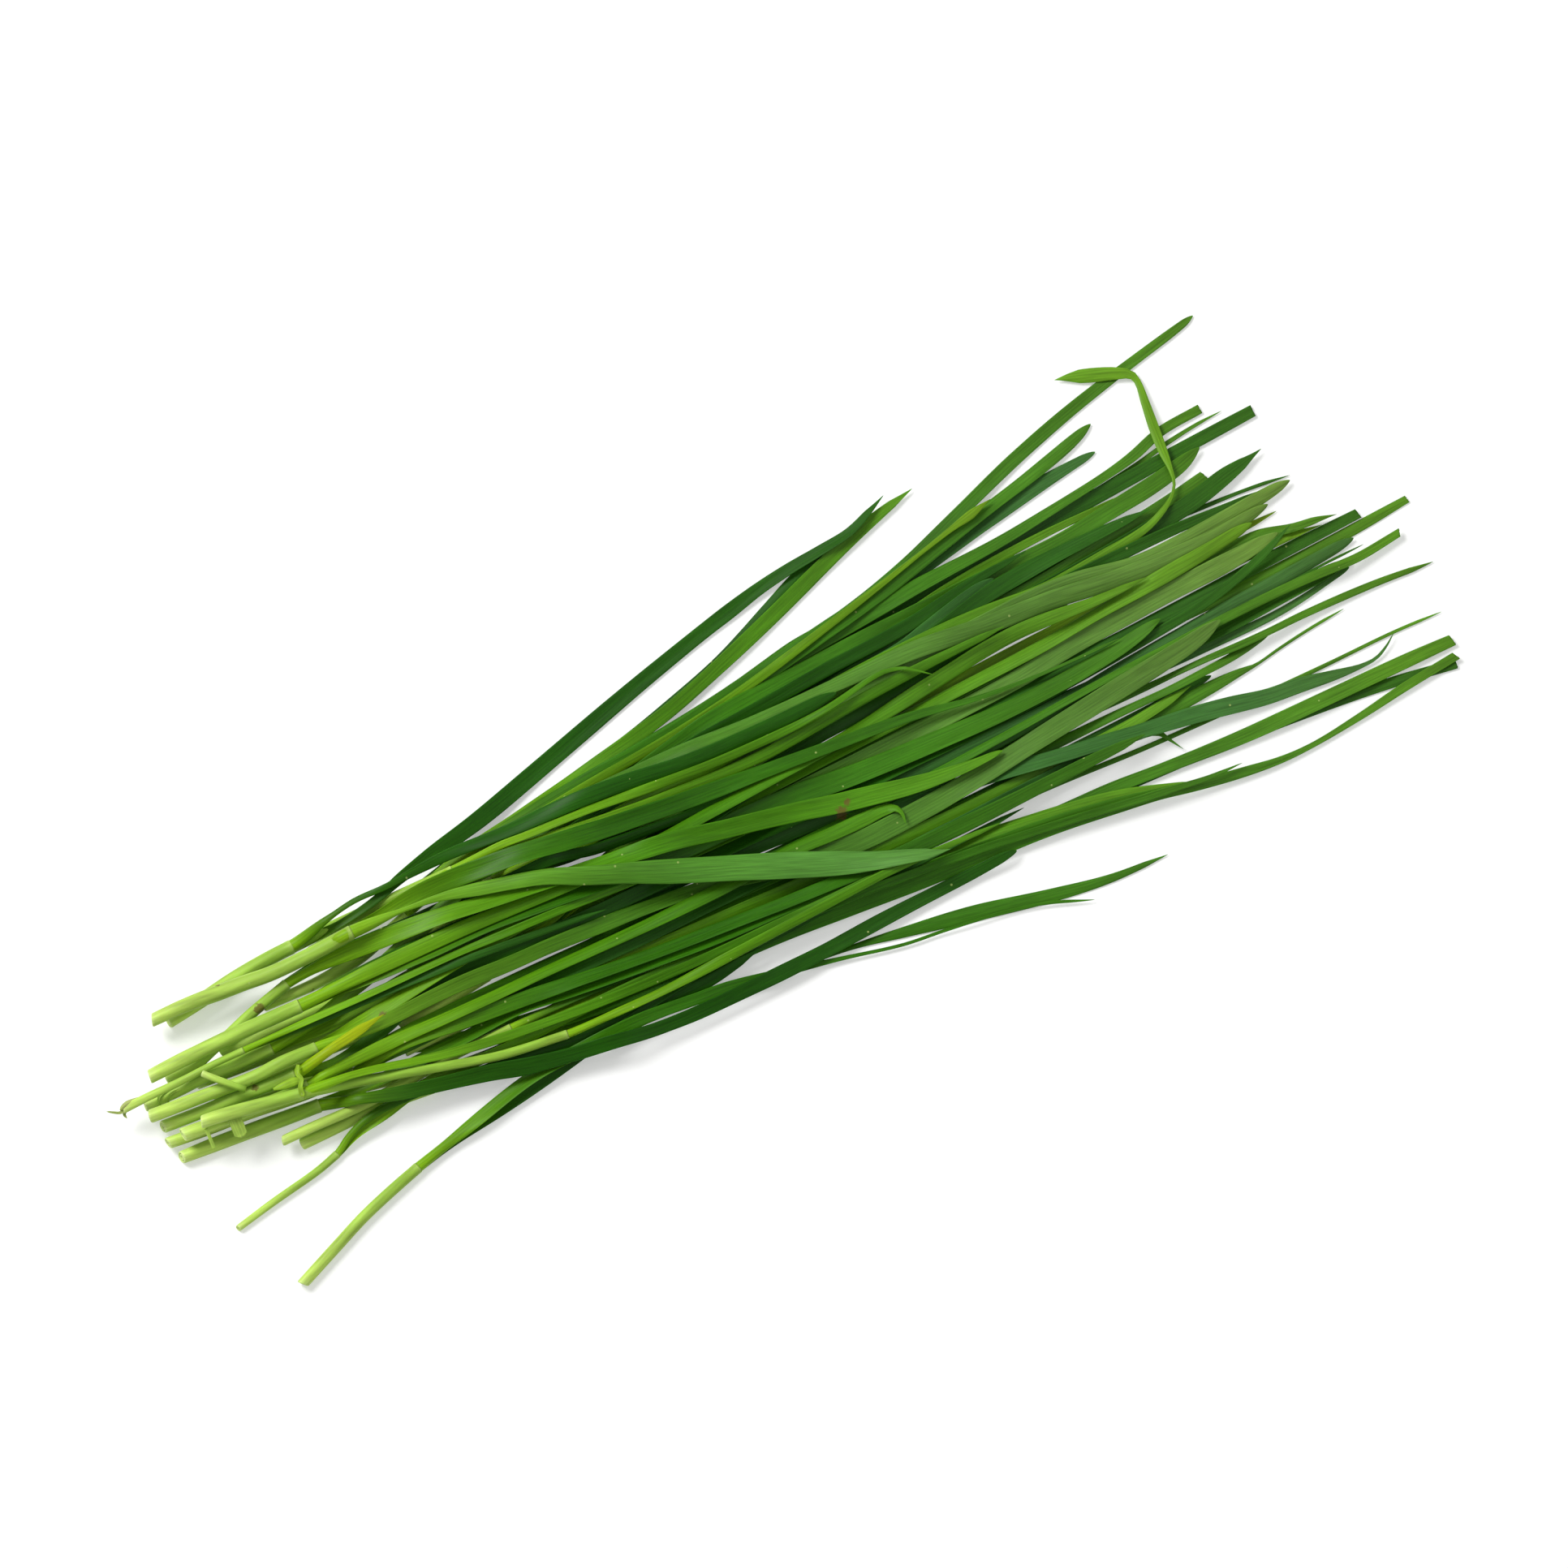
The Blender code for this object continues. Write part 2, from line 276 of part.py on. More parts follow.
        ("taper", 3, [(-133, 6.9, 3.8), (-100, 5.5, 4), (-50, 2, 4), (-20, 2.5, 4), (20, 3.8, 4),
            (50, 6.2, 4), (75, 7.8, 4), (100, 6, 3), (117, 5, 1.2)])]),
    ("shoot_26", [(-182, 19.9, 3.6), (-172, 21, 4), (-160, 22.4, 4.1), (-150, 22.9, 4.1), (-142, 22.9, 4),
        (-120, 22.3, 3.3), (-104, 21.6, 3), (-92.5, 21, 2.8)], [
        ("taper", 4, [(-130, 22.4, 2.2), (-121, 22.9, 2.2), (-114, 24, 2.3), (-105, 26, 3), (-95, 28, 4),
            (-80, 30.5, 4.8), (-60, 35.1, 4.8), (-40, 39.9, 4.8), (-20, 44.6, 4.4), (0, 48.9, 4),
            (10, 50.8, 4.1), (20, 52.6, 3.6), (30, 53.7, 3.4), (40, 54.3, 3.2), (50, 55.2, 2.8),
            (57, 57.6, 2), (63.3, 60.1, 1.1)]),
        ("round", 4, [(-130, 25, 1.8), (-120, 26.2, 1.7), (-110, 26.4, 1.7), (-100, 26.1, 2.4),
            (-90, 25.7, 3.2), (-80, 24.7, 3.8), (-70, 23.8, 4.2), (-60, 23.2, 4.5), (-40, 21.1, 4.5),
            (-20, 17.8, 4.5), (0, 16.5, 4.2), (25, 16.2, 3)]),
        ("taper", 7, [(-78, 19.4, 2.6), (-50, 14.5, 3), (-30, 12, 3), (0, 9.9, 3), (30, 11.2, 3),
            (50, 11.5, 2.8), (75, 11, 1.4)]),
        ("taper", 7, [(-78, 21.4, 2.5), (-70, 20.6, 2.5), (-50, 18.5, 2.5), (-30, 16, 2.5),
            (-10, 14, 2.4), (20, 13.2, 2), (35, 15, 1.4), (43, 14.3, 1), (47, 12, 0.9), (51.3, 8, 0.8)])]),
    ("shoot_27", [(-185.5, 22.5, 3.7), (-177, 22.1, 3.9), (-168, 21.1, 4.3), (-159, 20.1, 4.4),
        (-149, 18.8, 4.2), (-125, 18.8, 4.1)], [
        ("taper", 5, [(-110, 19.6, 4.8), (-98, 19.6, 5.2), (-80, 17.2, 5.4), (-60, 14, 5.4),
            (-40, 10.8, 5), (-20, 7.8, 4.6), (0, 5.3, 4), (20, 3, 3.2), (40, 0.5, 2.5), (60, -3.7, 1.4),
            (80, -6, 1), (102, -7, 0.9)]),
        ("taper", 5, [(-110, 17.7, 1.4), (-100, 16.3, 2), (-90, 13.7, 3.4), (-80, 10.8, 3.9),
            (-70, 7.4, 4.3), (-60, 2.7, 5), (-50, -2.2, 5.6), (-40, -7, 6.4), (-30, -11.6, 6.8),
            (-20, -16.2, 6.9), (-10, -21, 7.1), (0, -25.8, 6.7), (10, -30.3, 5.8), (20, -34.1, 4.6),
            (27, -36.7, 3), (32, -38, 1)])]),
    ("loose_stalk", [(-180, 2.7, 1.9), (-176, -2, 2), (-171.5, -7, 1.9)], []),
]


# Leaves that rise over shoots which lie above their own stem: (shoot, leaf) and the shoot it is laid after.
LATER = {("shoot_18", 1): "shoot_25", ("shoot_19", 1): "shoot_22", ("shoot_21", 1): "shoot_22"}


def spline(points):
    """Centripetal Catmull-Rom curve through the rows of points, PER_SPAN samples between two of them."""
    rows = np.asarray(points, float)
    ends = np.vstack([2 * rows[0] - rows[1], rows, 2 * rows[-1] - rows[-2]])
    knots = np.concatenate([[0], np.cumsum(np.linalg.norm(np.diff(ends[:, :2], axis=0), axis=1) ** 0.5)])
    out = []
    for i in range(1, len(ends) - 2):
        t = np.linspace(knots[i], knots[i + 1], PER_SPAN, endpoint=False)[:, None]
        t0, t1, t2, t3 = knots[i - 1 : i + 3]
        p0, p1, p2, p3 = ends[i - 1 : i + 3]
        a1 = (t1 - t) / (t1 - t0) * p0 + (t - t0) / (t1 - t0) * p1
        a2 = (t2 - t) / (t2 - t1) * p1 + (t - t1) / (t2 - t1) * p2
        a3 = (t3 - t) / (t3 - t2) * p2 + (t - t2) / (t3 - t2) * p3
        b1 = (t2 - t) / (t2 - t0) * a1 + (t - t0) / (t2 - t0) * a2
        b2 = (t3 - t) / (t3 - t1) * a2 + (t - t1) / (t3 - t1) * a3
        out.append((t2 - t) / (t2 - t1) * b1 + (t - t1) / (t2 - t1) * b2)
    out.append(rows[-1:])
    return np.vstack(out)


def lengths(curve):
    """Distance along a sampled curve, from its first point."""
    return np.concatenate([[0], np.cumsum(np.linalg.norm(np.diff(curve[:, :2], axis=0), axis=1))])


def stations_of(curve, step, extra=()):
    """Distances for the stations: about step apart, closer where the route turns, with any extra ones."""
    along = lengths(curve)
    heading = np.unwrap(np.arctan2(np.gradient(curve[:, 1]), np.gradient(curve[:, 0])))
    turned = np.concatenate([[0], np.cumsum(np.abs(np.diff(heading)))])
    cost = along / step + turned / STATION_TURN
    count = max(2, int(math.ceil(cost[-1])))
    found = np.interp(np.linspace(0, cost[-1], count + 1), cost, along)
    for value in extra:
        if len(found) > 2:
            near = np.abs(found - value) < STATION_APART
            near[0] = near[-1] = False
            found = found[~near]
        found = np.append(found, value)
    return np.unique(np.round(found, 6))


def frame_at(curve, at):
    """Point, width and sideways direction of the route at each distance."""
    along = lengths(curve)
    x, y, w = (np.interp(at, along, curve[:, i]) for i in range(3))
    tangent = np.stack([np.gradient(curve[:, 0], along), np.gradient(curve[:, 1], along)], 1)
    tx, ty = (np.interp(at, along, tangent[:, i]) for i in range(2))
    size = np.hypot(tx, ty)
    return np.stack([x, y], 1), w, np.stack([-ty / size, tx / size], 1)


def stem_sections(width):
    """Eight-sided rings as (station, point, (sideways, up)), with one side level underneath."""
    angle = (np.arange(STEM_SIDES) + 0.5) * 2 * math.pi / STEM_SIDES
    radius = width / 2 / math.cos(math.pi / STEM_SIDES)
    return radius[:, None, None] * np.stack([np.cos(angle), np.sin(angle)], 1)[None]


def blade_sections(width, bank):
    """Four-sided rings of a strap leaf, flat above and narrower below, turned by the bank angle."""
    half = width / 2
    thick = BLADE_THICKNESS / 2
    under = half * UNDER_EDGE
    v = np.stack([half, -half, -under, under], 1)
    u = np.stack([half * 0 + thick, half * 0 + thick, half * 0 - thick, half * 0 - thick], 1)
    c = np.cos(bank)[:, None]
    s = np.sin(bank)[:, None]
    return np.stack([v * c - u * s, v * s + u * c], 2)


class Pile:
    """The height of what has been laid so far, on a grid over the floor."""

    def __init__(self):
        self.low = np.array(FLOOR_LOW)
        self.top = np.full((int(FLOOR_SIZE[0] / CELL), int(FLOOR_SIZE[1] / CELL)), -GAP)

    def widened(self):
        """The heights with each cell raised to the highest of itself and its neighbours."""
        grown = self.top.copy()
        for axis in (0, 1):
            once = np.maximum(np.roll(grown, 1, axis), np.roll(grown, -1, axis))
            grown = np.maximum(grown, once)
        return grown

    def cells(self, points):
        index = np.floor((points - self.low) / CELL).astype(int)
        return index[..., 0], index[..., 1]


def surface_samples(centre, side, rings, span):
    """Points over one span of a loft: rows along it, columns round it, as (xy, height over the centres)."""
    length = np.linalg.norm(centre[span + 1] - centre[span])
    rows = max(2, int(math.ceil(length / SAMPLE)) + 1)
    s = np.linspace(0, 1, rows)[:, None]
    closed = np.concatenate([rings[span : span + 2], rings[span : span + 2, :1]], 1)
    columns = np.linspace(0, closed.shape[1] - 1, SAMPLES_ROUND)
    whole = np.minimum(columns.astype(int), closed.shape[1] - 2)
    part = (columns - whole)[None, :, None]
    round_it = closed[:, whole] * (1 - part) + closed[:, whole + 1] * part
    both = centre[span : span + 2, None] + round_it[..., :1] * side[span : span + 2, None]
    xy = both[0][None] * (1 - s[..., None]) + both[1][None] * s[..., None]
    up = round_it[0, :, 1][None] * (1 - s) + round_it[1, :, 1][None] * s
    return s[:, 0], xy, up


def needs_of(pile, heights, centre, side, rings, spans):
    """For each span, how high the line between its two stations has to run, row by row."""
    found = []
    for span in spans:
        s, xy, up = surface_samples(centre, side, rings, span)
        floor = heights[pile.cells(xy)]
        found.append((span, s, (floor + GAP - up).max(axis=1)))
    return found


def smoothed(values):
    """Each value as half of itself and a quarter of both neighbours."""
    padded = np.concatenate([values[:1], values, values[-1:]])
    return 0.25 * padded[:-2] + 0.5 * padded[1:-1] + 0.25 * padded[2:]


def raise_to(z, needs, fixed):
    """Lifts the stations until the line between every two of them clears what it has to."""
    for _ in range(LIFT_ROUNDS):
        moved = 0.0
        for span, s, need in needs:
            if span + 1 <= fixed:
                continue
            short = need - (z[span] * (1 - s) + z[span + 1] * s)
            if span == fixed:
                short = np.where(s < COLLAR_PART, -1, short)
            worst = int(np.argmax(short))
            lift = short[worst]
            if lift < LEAST_LIFT:
                continue
            a, b = 1 - s[worst], s[worst]
            if span == fixed:
                z[span + 1] += lift / b
            else:
                z[span] += lift * a / (a * a + b * b)
                z[span + 1] += lift * b / (a * a + b * b)
            moved = max(moved, lift)
        if moved == 0.0:
            break
    return z


def settle(needs, count, rounds, start=None, fixed=-1):
    """Heights of the stations: as low as the pile below allows, then eased as a springy leaf eases."""
    z = np.full(count, FAR_BELOW)
    for span, s, need in needs:
        z[span] = max(z[span], need[0])
        z[span + 1] = max(z[span + 1], need[-1])
    if start is not None:
        z[: fixed + 1] = start
    z = raise_to(z, needs, fixed)
    lowest = z.copy()
    for _ in range(rounds):
        eased = smoothed(z)
        if fixed >= 0:
            eased[: fixed + 1] = z[: fixed + 1]
        z = raise_to(eased, needs, fixed)
    return np.where(z - lowest < SETTLED, lowest, z)


def lay_on(pile, centre, side, rings, z, first=0):
    """Raises the pile's heights to the top of a loft that has been laid."""
    for span in range(first, len(z) - 1):
        s, xy, up = surface_samples(centre, side, rings, span)
        height = up + (z[span] * (1 - s) + z[span + 1] * s)[:, None]
        i, j = pile.cells(xy)
        np.maximum.at(pile.top, (i, j), height)


def drawn_back(points, z):
    """The route of something z high, from the place where it is seen."""
    moved = np.array(points, float)
    moved[:, 0] -= SEEN_SLOPE * math.sin(SEEN_TURN) * z
    moved[:, 1] -= SEEN_SLOPE * math.cos(SEEN_TURN) * z
    return moved


def lean_of(pile, heights, centre, width, side):
    """Angle at which a leaf lies on what is under its two halves, eased along the leaf."""
    halves = []
    for sign in (1, -1):
        rows = []
        for part in FEELERS:
            rows.append(heights[pile.cells(centre + sign * part * width[:, None] * side)])
        halves.append(np.mean(rows, axis=0))
    lean = np.arctan2(halves[0] - halves[1], FEELER_SPAN * width)
    for _ in range(LEAN_ROUNDS):
        lean = smoothed(lean)
    return np.clip(lean, -MOST_LEAN, MOST_LEAN)


def blade_of(pile, heights, curve, tip):
    """Stations of a leaf: centres, sideways directions, rings and the distances along it."""
    total = lengths(curve)[-1]
    end_width = curve[-1, 2]
    extra = [ROOT_DEPTH, ROOT_DEPTH + FREE_AFTER]
    if tip == "round":
        extra += [total - part * end_width for part in TIP_STATIONS]
    at = stations_of(curve, STATION_STEP, extra)
    centre, width, side = frame_at(curve, at)
    if tip == "round":
        left = np.clip((total - at) / (ROUND_TIP * end_width), 0, 1)
        width = width * np.maximum(TIP_LEAST, np.sqrt(1 - (1 - left) ** 2))
    free = np.clip((at - ROOT_DEPTH) / (2 * FREE_AFTER), 0, 1)
    width = np.maximum(width, LEAST_WIDTH)
    bank = free * lean_of(pile, heights, centre, width, side)
    return centre, side, blade_sections(width, bank), at


def lofted(name, centre, side, rings, z):
    """Closed loft in metres: each span's faces split into triangles the same way above and below."""
    mesh = bpy.data.meshes.new(name)
    shell = bmesh.new()
    rows = []
    for k in range(len(z)):
        xy = centre[k] + rings[k][:, :1] * side[k]
        rows.append([shell.verts.new((x * MM, y * MM, (z[k] + u) * MM)) for (x, y), u in
                     zip(xy, rings[k][:, 1])])
    count = len(rows[0])
    for a, b in zip(rows, rows[1:]):
        for i in range(count):
            j = (i + 1) % count
            if i < count // 2:
                shell.faces.new((a[i], b[i], b[j]))
                shell.faces.new((a[i], b[j], a[j]))
            else:
                shell.faces.new((a[i], b[i], a[j]))
                shell.faces.new((b[i], b[j], a[j]))
    shell.faces.new(rows[0])
    shell.faces.new(list(reversed(rows[-1])))
    bmesh.ops.recalc_face_normals(shell, faces=shell.faces)
    shell.to_mesh(mesh)
    shell.free()
    return bpy.data.objects.new(name, mesh)


def settled_stem(before, pile, points, ahead_by):
    """A stem on the pile: its curve, and its centres, sideways directions, rings, heights and distances."""
    stem = spline(points)
    heading = stem[-1, :2] - stem[-4, :2]
    ahead = stem[-1, :2] + heading / np.linalg.norm(heading) * ahead_by
    longer = np.vstack([stem, [ahead[0], ahead[1], stem[-1, 2]]])
    at = stations_of(stem, STEM_STEP)
    kept = len(at)
    centre, width, side = frame_at(longer, np.append(at, lengths(longer)[-1]))
    rings = stem_sections(width)
    needs = needs_of(pile, before, centre, side, rings, range(len(centre) - 1))
    z = settle(needs, len(centre), STEM_ROUNDS)
    return stem, centre[:kept], side[:kept], rings[:kept], z[:kept], at


def lay_stem(pile, row, slim):
    """Lays a shoot's stem: first where it is seen, then drawn back by each height that it finds."""
    name, points, leaves = row
    before = pile.widened()
    ahead_by = FREE_AFTER if leaves else BARE_AHEAD
    seen = points
    for _ in range(DRAWN_ROUNDS):
        stem, centre, side, rings, z, at = settled_stem(before, pile, points, ahead_by)
        points = drawn_back(seen, np.interp(lengths(stem)[::PER_SPAN], at, z))
    lay_on(pile, centre, side, rings, z)
    return {"name": name, "leaves": leaves, "slim": slim, "before": before, "stem": stem, "z": z, "at": at,
            "parts": [(centre, side, rings, z)]}


def settled_leaf(pile, shoot, number, now, route):
    """A leaf on the pile: its centres, sideways directions, rings, heights and distances."""
    tip, root, _ = shoot["leaves"][number]
    stem = shoot["stem"]
    along = lengths(stem)
    same = [k for k, other in enumerate(shoot["leaves"]) if other[1] == root]
    end = along[root * PER_SPAN]
    inside = np.array([np.interp(end - ROOT_DEPTH, along, stem[:, i]) for i in range(3)])
    mouth = np.array([np.interp(end, along, stem[:, i]) for i in range(3)])
    room = mouth[2] - LEAF_PITCH
    inside[2] *= ROOT_SHARE
    mouth[2] *= MOUTH_SHARE
    curve = spline([inside, mouth] + list(route))
    if shoot["slim"]:
        buried = np.clip((SLIM_ABOVE - curve[:, 0]) / (SLIM_ABOVE - SLIM_BELOW), 0, 1)
        curve[:, 2] *= 1 - (1 - SLIM) * buried
    mid, across, section, far = blade_of(pile, now, curve, tip)
    level = np.interp([end - ROOT_DEPTH, end], shoot["at"], shoot["z"])
    pitch = min(LEAF_PITCH, room / max(1, len(same) - 1))
    shift = (same.index(number) - (len(same) - 1) / 2) * pitch
    fixed = int(np.sum(far <= ROOT_DEPTH + ROUNDING)) - 1
    free = int(np.sum(far <= ROOT_DEPTH + FREE_AFTER + ROUNDING)) - 1
    near = needs_of(pile, shoot["before"], mid, across, section, range(fixed, free))
    away = needs_of(pile, now, mid, across, section, range(free, len(mid) - 1))
    start = np.interp(far[: fixed + 1], [0, ROOT_DEPTH], level) + shift
    return curve, mid, across, section, settle(near + away, len(mid), LEAF_ROUNDS, start, fixed), far, fixed


def lay_leaf(pile, shoot, number):
    """Lays one leaf: first where it is seen, then drawn back by each height that it finds."""
    seen = route = shoot["leaves"][number][2]
    now = pile.widened()
    for _ in range(DRAWN_ROUNDS):
        curve, mid, across, section, z, far, fixed = settled_leaf(pile, shoot, number, now, route)
        route = drawn_back(seen, np.interp(lengths(curve)[2 * PER_SPAN :: PER_SPAN], far, z))
    shoot["parts"].append((mid, across, section, z))
    lay_on(pile, mid, across, section, z, fixed)


def lay_late_leaf(pile, shoot, number):
    """Lays a leaf over the shoots that came after its own: even near its collar it has to clear them."""
    now = pile.widened()
    shoot["before"] = np.where(now > shoot["after"], now, shoot["before"])
    lay_leaf(pile, shoot, number)


def laid_out():
    """Every shoot with its stem and leaves at rest: (name, [(centre, side, rings, z), ...])."""
    pile = Pile()
    shoots = {}
    for order, row in enumerate(SHOOTS):
        name = row[0]
        shoots[name] = lay_stem(pile, row, order < UNDER_SHOOTS)
        for number in range(len(row[2])):
            if (name, number) not in LATER:
                lay_leaf(pile, shoots[name], number)
        shoots[name]["after"] = pile.widened()
        for (early, number), after in LATER.items():
            if after == name:
                lay_late_leaf(pile, shoots[early], number)
    return [(name, shoot["parts"]) for name, shoot in shoots.items()]


def fused(name, parts):
    """One solid from the stem and its leaves."""
    pieces = [lofted(f"{name}_piece_{i}", *part) for i, part in enumerate(parts)]
    body = pieces[0]
    body.name = name
    body.data.name = name
    collection.objects.link(body)
    if len(pieces) == 1:
        return body
    joined = bpy.data.collections.new(f"{name}_leaves")
    bpy.context.scene.collection.children.link(joined)
    for piece in pieces[1:]:
        joined.objects.link(piece)
    union = body.modifiers.new("union", "BOOLEAN")
    union.operation = "UNION"
    union.operand_type = "COLLECTION"
    union.collection = joined
    union.solver = "EXACT"
    bpy.context.view_layer.update()
    graph = bpy.context.evaluated_depsgraph_get()
    result = bpy.data.meshes.new_from_object(body.evaluated_get(graph))
    body.modifiers.remove(union)
    plain = body.data
    body.data = result
    bpy.data.meshes.remove(plain)
    result.name = name
    for piece in pieces[1:]:
        shape = piece.data
        bpy.data.objects.remove(piece)
        bpy.data.meshes.remove(shape)
    bpy.data.collections.remove(joined)
    return body


def painted(body, number):
    """Its own leaf green, a little lighter or bluer from one shoot to the next."""
    material = bpy.data.materials.new(f"green_{body.name}")
    material.use_nodes = True
    shader = material.node_tree.nodes["Principled BSDF"]
    light = LIGHTNESS[0] + (LIGHTNESS[1] - LIGHTNESS[0]) * ((number * 5) % 9) / 8
    blue = LEAF_BLUE[0] + (LEAF_BLUE[1] - LEAF_BLUE[0]) * ((number * 7) % 5) / 4
    shader.inputs["Base Color"].default_value = (LEAF_RED * light, LEAF_GREEN * light, blue, 1)
    shader.inputs["Roughness"].default_value = ROUGHNESS
    shader.inputs["Metallic"].default_value = 0.0
    if body.name == "loose_stalk":
        shader.inputs["Base Color"].default_value = STALK_COLOUR
    body.data.materials.clear()
    body.data.materials.append(material)
    for face in body.data.polygons:
        face.use_smooth = True
        face.material_index = 0


for leftover in list(bpy.data.objects):
    bpy.data.objects.remove(leftover)
collection = bpy.data.collections.new("chive_bunch")
bpy.context.scene.collection.children.link(collection)

bodies = [fused(name, parts) for name, parts in laid_out()]
low = np.full(3, np.inf)
high = np.full(3, -np.inf)
for body in bodies:
    corners = np.array([vertex.co for vertex in body.data.vertices])
    low = np.minimum(low, corners.min(axis=0))
    high = np.maximum(high, corners.max(axis=0))
middle = np.array([(low[0] + high[0]) / 2, (low[1] + high[1]) / 2, low[2]])
for number, body in enumerate(bodies):
    for vertex in body.data.vertices:
        vertex.co = np.array(vertex.co) - middle
    painted(body, number)
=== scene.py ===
"""A loose bunch of cut garlic chives on a pale table top, cut ends at the lower left, leaf tips at the right.

The shoots are laid down in the order of the pile, and each stands for the frame's solid of the same name.
Routes are in millimetres, x along the bunch and y across it, and are drawn as seen from 14 degrees off the
vertical: each is moved by what its own height makes of that. The meshes are in metres.
"""

import math

import bpy
import numpy as np
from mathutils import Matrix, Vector


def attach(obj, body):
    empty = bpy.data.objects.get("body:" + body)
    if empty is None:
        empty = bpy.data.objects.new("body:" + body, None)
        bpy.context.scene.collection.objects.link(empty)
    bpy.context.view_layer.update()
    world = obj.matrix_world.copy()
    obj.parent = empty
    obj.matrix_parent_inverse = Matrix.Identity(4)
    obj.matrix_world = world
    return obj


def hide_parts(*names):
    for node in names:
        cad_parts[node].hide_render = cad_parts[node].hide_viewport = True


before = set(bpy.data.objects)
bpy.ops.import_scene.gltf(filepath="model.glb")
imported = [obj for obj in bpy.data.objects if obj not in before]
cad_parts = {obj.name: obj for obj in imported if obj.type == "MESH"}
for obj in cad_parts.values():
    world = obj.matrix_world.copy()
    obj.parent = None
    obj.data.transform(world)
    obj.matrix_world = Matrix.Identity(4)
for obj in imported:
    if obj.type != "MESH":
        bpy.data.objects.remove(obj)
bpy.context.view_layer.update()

# The table top: a plain pale board, far larger than the bunch, which glows faintly, so that shadows on it
# stay pale. Two soft lamps hang over it, the brighter one beyond the bunch on the left, and the camera looks
# down on it at 76 degrees, as the photograph does.
TABLE_SIDE = 40.0
TABLE_DROP = 0.0002
CAMERA_TURN = math.radians(28)
CAMERA_HEIGHT = math.radians(76)
CAMERA_LENS = 400.0
CAMERA_SENSOR = 36.0
CAMERA_AWAY = 4.83
LOOKS_AT = (0.006812, 0.001377, 0.0)
PALE_BOARD = (0.67, 0.67, 0.665, 1)
BOARD_ROUGHNESS = 0.8
BOARD_SHINE = 0.2
BOARD_GLOW = 0.34
KEY_PLACE = (-0.55, 0.95, 1.25)
KEY_SIDE = 0.7
KEY_WATTS = 27.0
FILL_PLACE = (0.9, -0.5, 1.4)
FILL_SIDE = 1.6
FILL_WATTS = 6.0
SKY = (0.97, 0.98, 0.95, 1)
SKY_STRENGTH = 0.40

half = TABLE_SIDE / 2
board = bpy.data.meshes.new("table_top")
board.from_pydata([(-half, -half, -TABLE_DROP), (half, -half, -TABLE_DROP), (half, half, -TABLE_DROP),
                   (-half, half, -TABLE_DROP)], [], [(0, 1, 2, 3)])
table_top = bpy.data.objects.new("table_top", board)
bpy.context.scene.collection.objects.link(table_top)
board_white = bpy.data.materials.new("board_white")
board_white.use_nodes = True
board_shader = board_white.node_tree.nodes["Principled BSDF"]
board_shader.inputs["Base Color"].default_value = PALE_BOARD
board_shader.inputs["Roughness"].default_value = BOARD_ROUGHNESS
board_shader.inputs["Specular IOR Level"].default_value = BOARD_SHINE
board_shader.inputs["Emission Color"].default_value = (1, 1, 1, 1)
board_shader.inputs["Emission Strength"].default_value = BOARD_GLOW
board.materials.append(board_white)


def soft_lamp(name, place, side, watts):
    """A square area lamp that faces the middle of the bunch."""
    light = bpy.data.lights.new(name, "AREA")
    light.shape = "SQUARE"
    light.size = side
    light.energy = watts
    lamp = bpy.data.objects.new(name, light)
    lamp.location = place
    lamp.rotation_euler = (-Vector(place)).to_track_quat("-Z", "Y").to_euler()
    bpy.context.scene.collection.objects.link(lamp)


soft_lamp("key_lamp", KEY_PLACE, KEY_SIDE, KEY_WATTS)
soft_lamp("fill_lamp", FILL_PLACE, FILL_SIDE, FILL_WATTS)
sky = bpy.data.worlds.new("studio_sky")
sky.use_nodes = True
sky.node_tree.nodes["Background"].inputs["Color"].default_value = SKY
sky.node_tree.nodes["Background"].inputs["Strength"].default_value = SKY_STRENGTH
bpy.context.scene.world = sky
bpy.context.scene.view_settings.view_transform = "Standard"

towards = Vector((-math.sin(CAMERA_TURN) * math.cos(CAMERA_HEIGHT),
                  -math.cos(CAMERA_TURN) * math.cos(CAMERA_HEIGHT), math.sin(CAMERA_HEIGHT)))
camera_data = bpy.data.cameras.new("camera")
camera_data.lens = CAMERA_LENS
camera_data.sensor_width = CAMERA_SENSOR
camera = bpy.data.objects.new("camera", camera_data)
camera.location = Vector(LOOKS_AT) + CAMERA_AWAY * towards
camera.rotation_euler = (-towards).to_track_quat("-Z", "Y").to_euler()
bpy.context.scene.collection.objects.link(camera)
bpy.context.scene.camera = camera

# The buried shoots: eleven leafy shoots at the bottom of the pile, of which only the leaf tips show, at the
# right. Each is a pale round pseudostem of rolled sheaths, with strap leaves that leave its collar. Their
# leaves lie closest together where the rest of the bunch covers them.

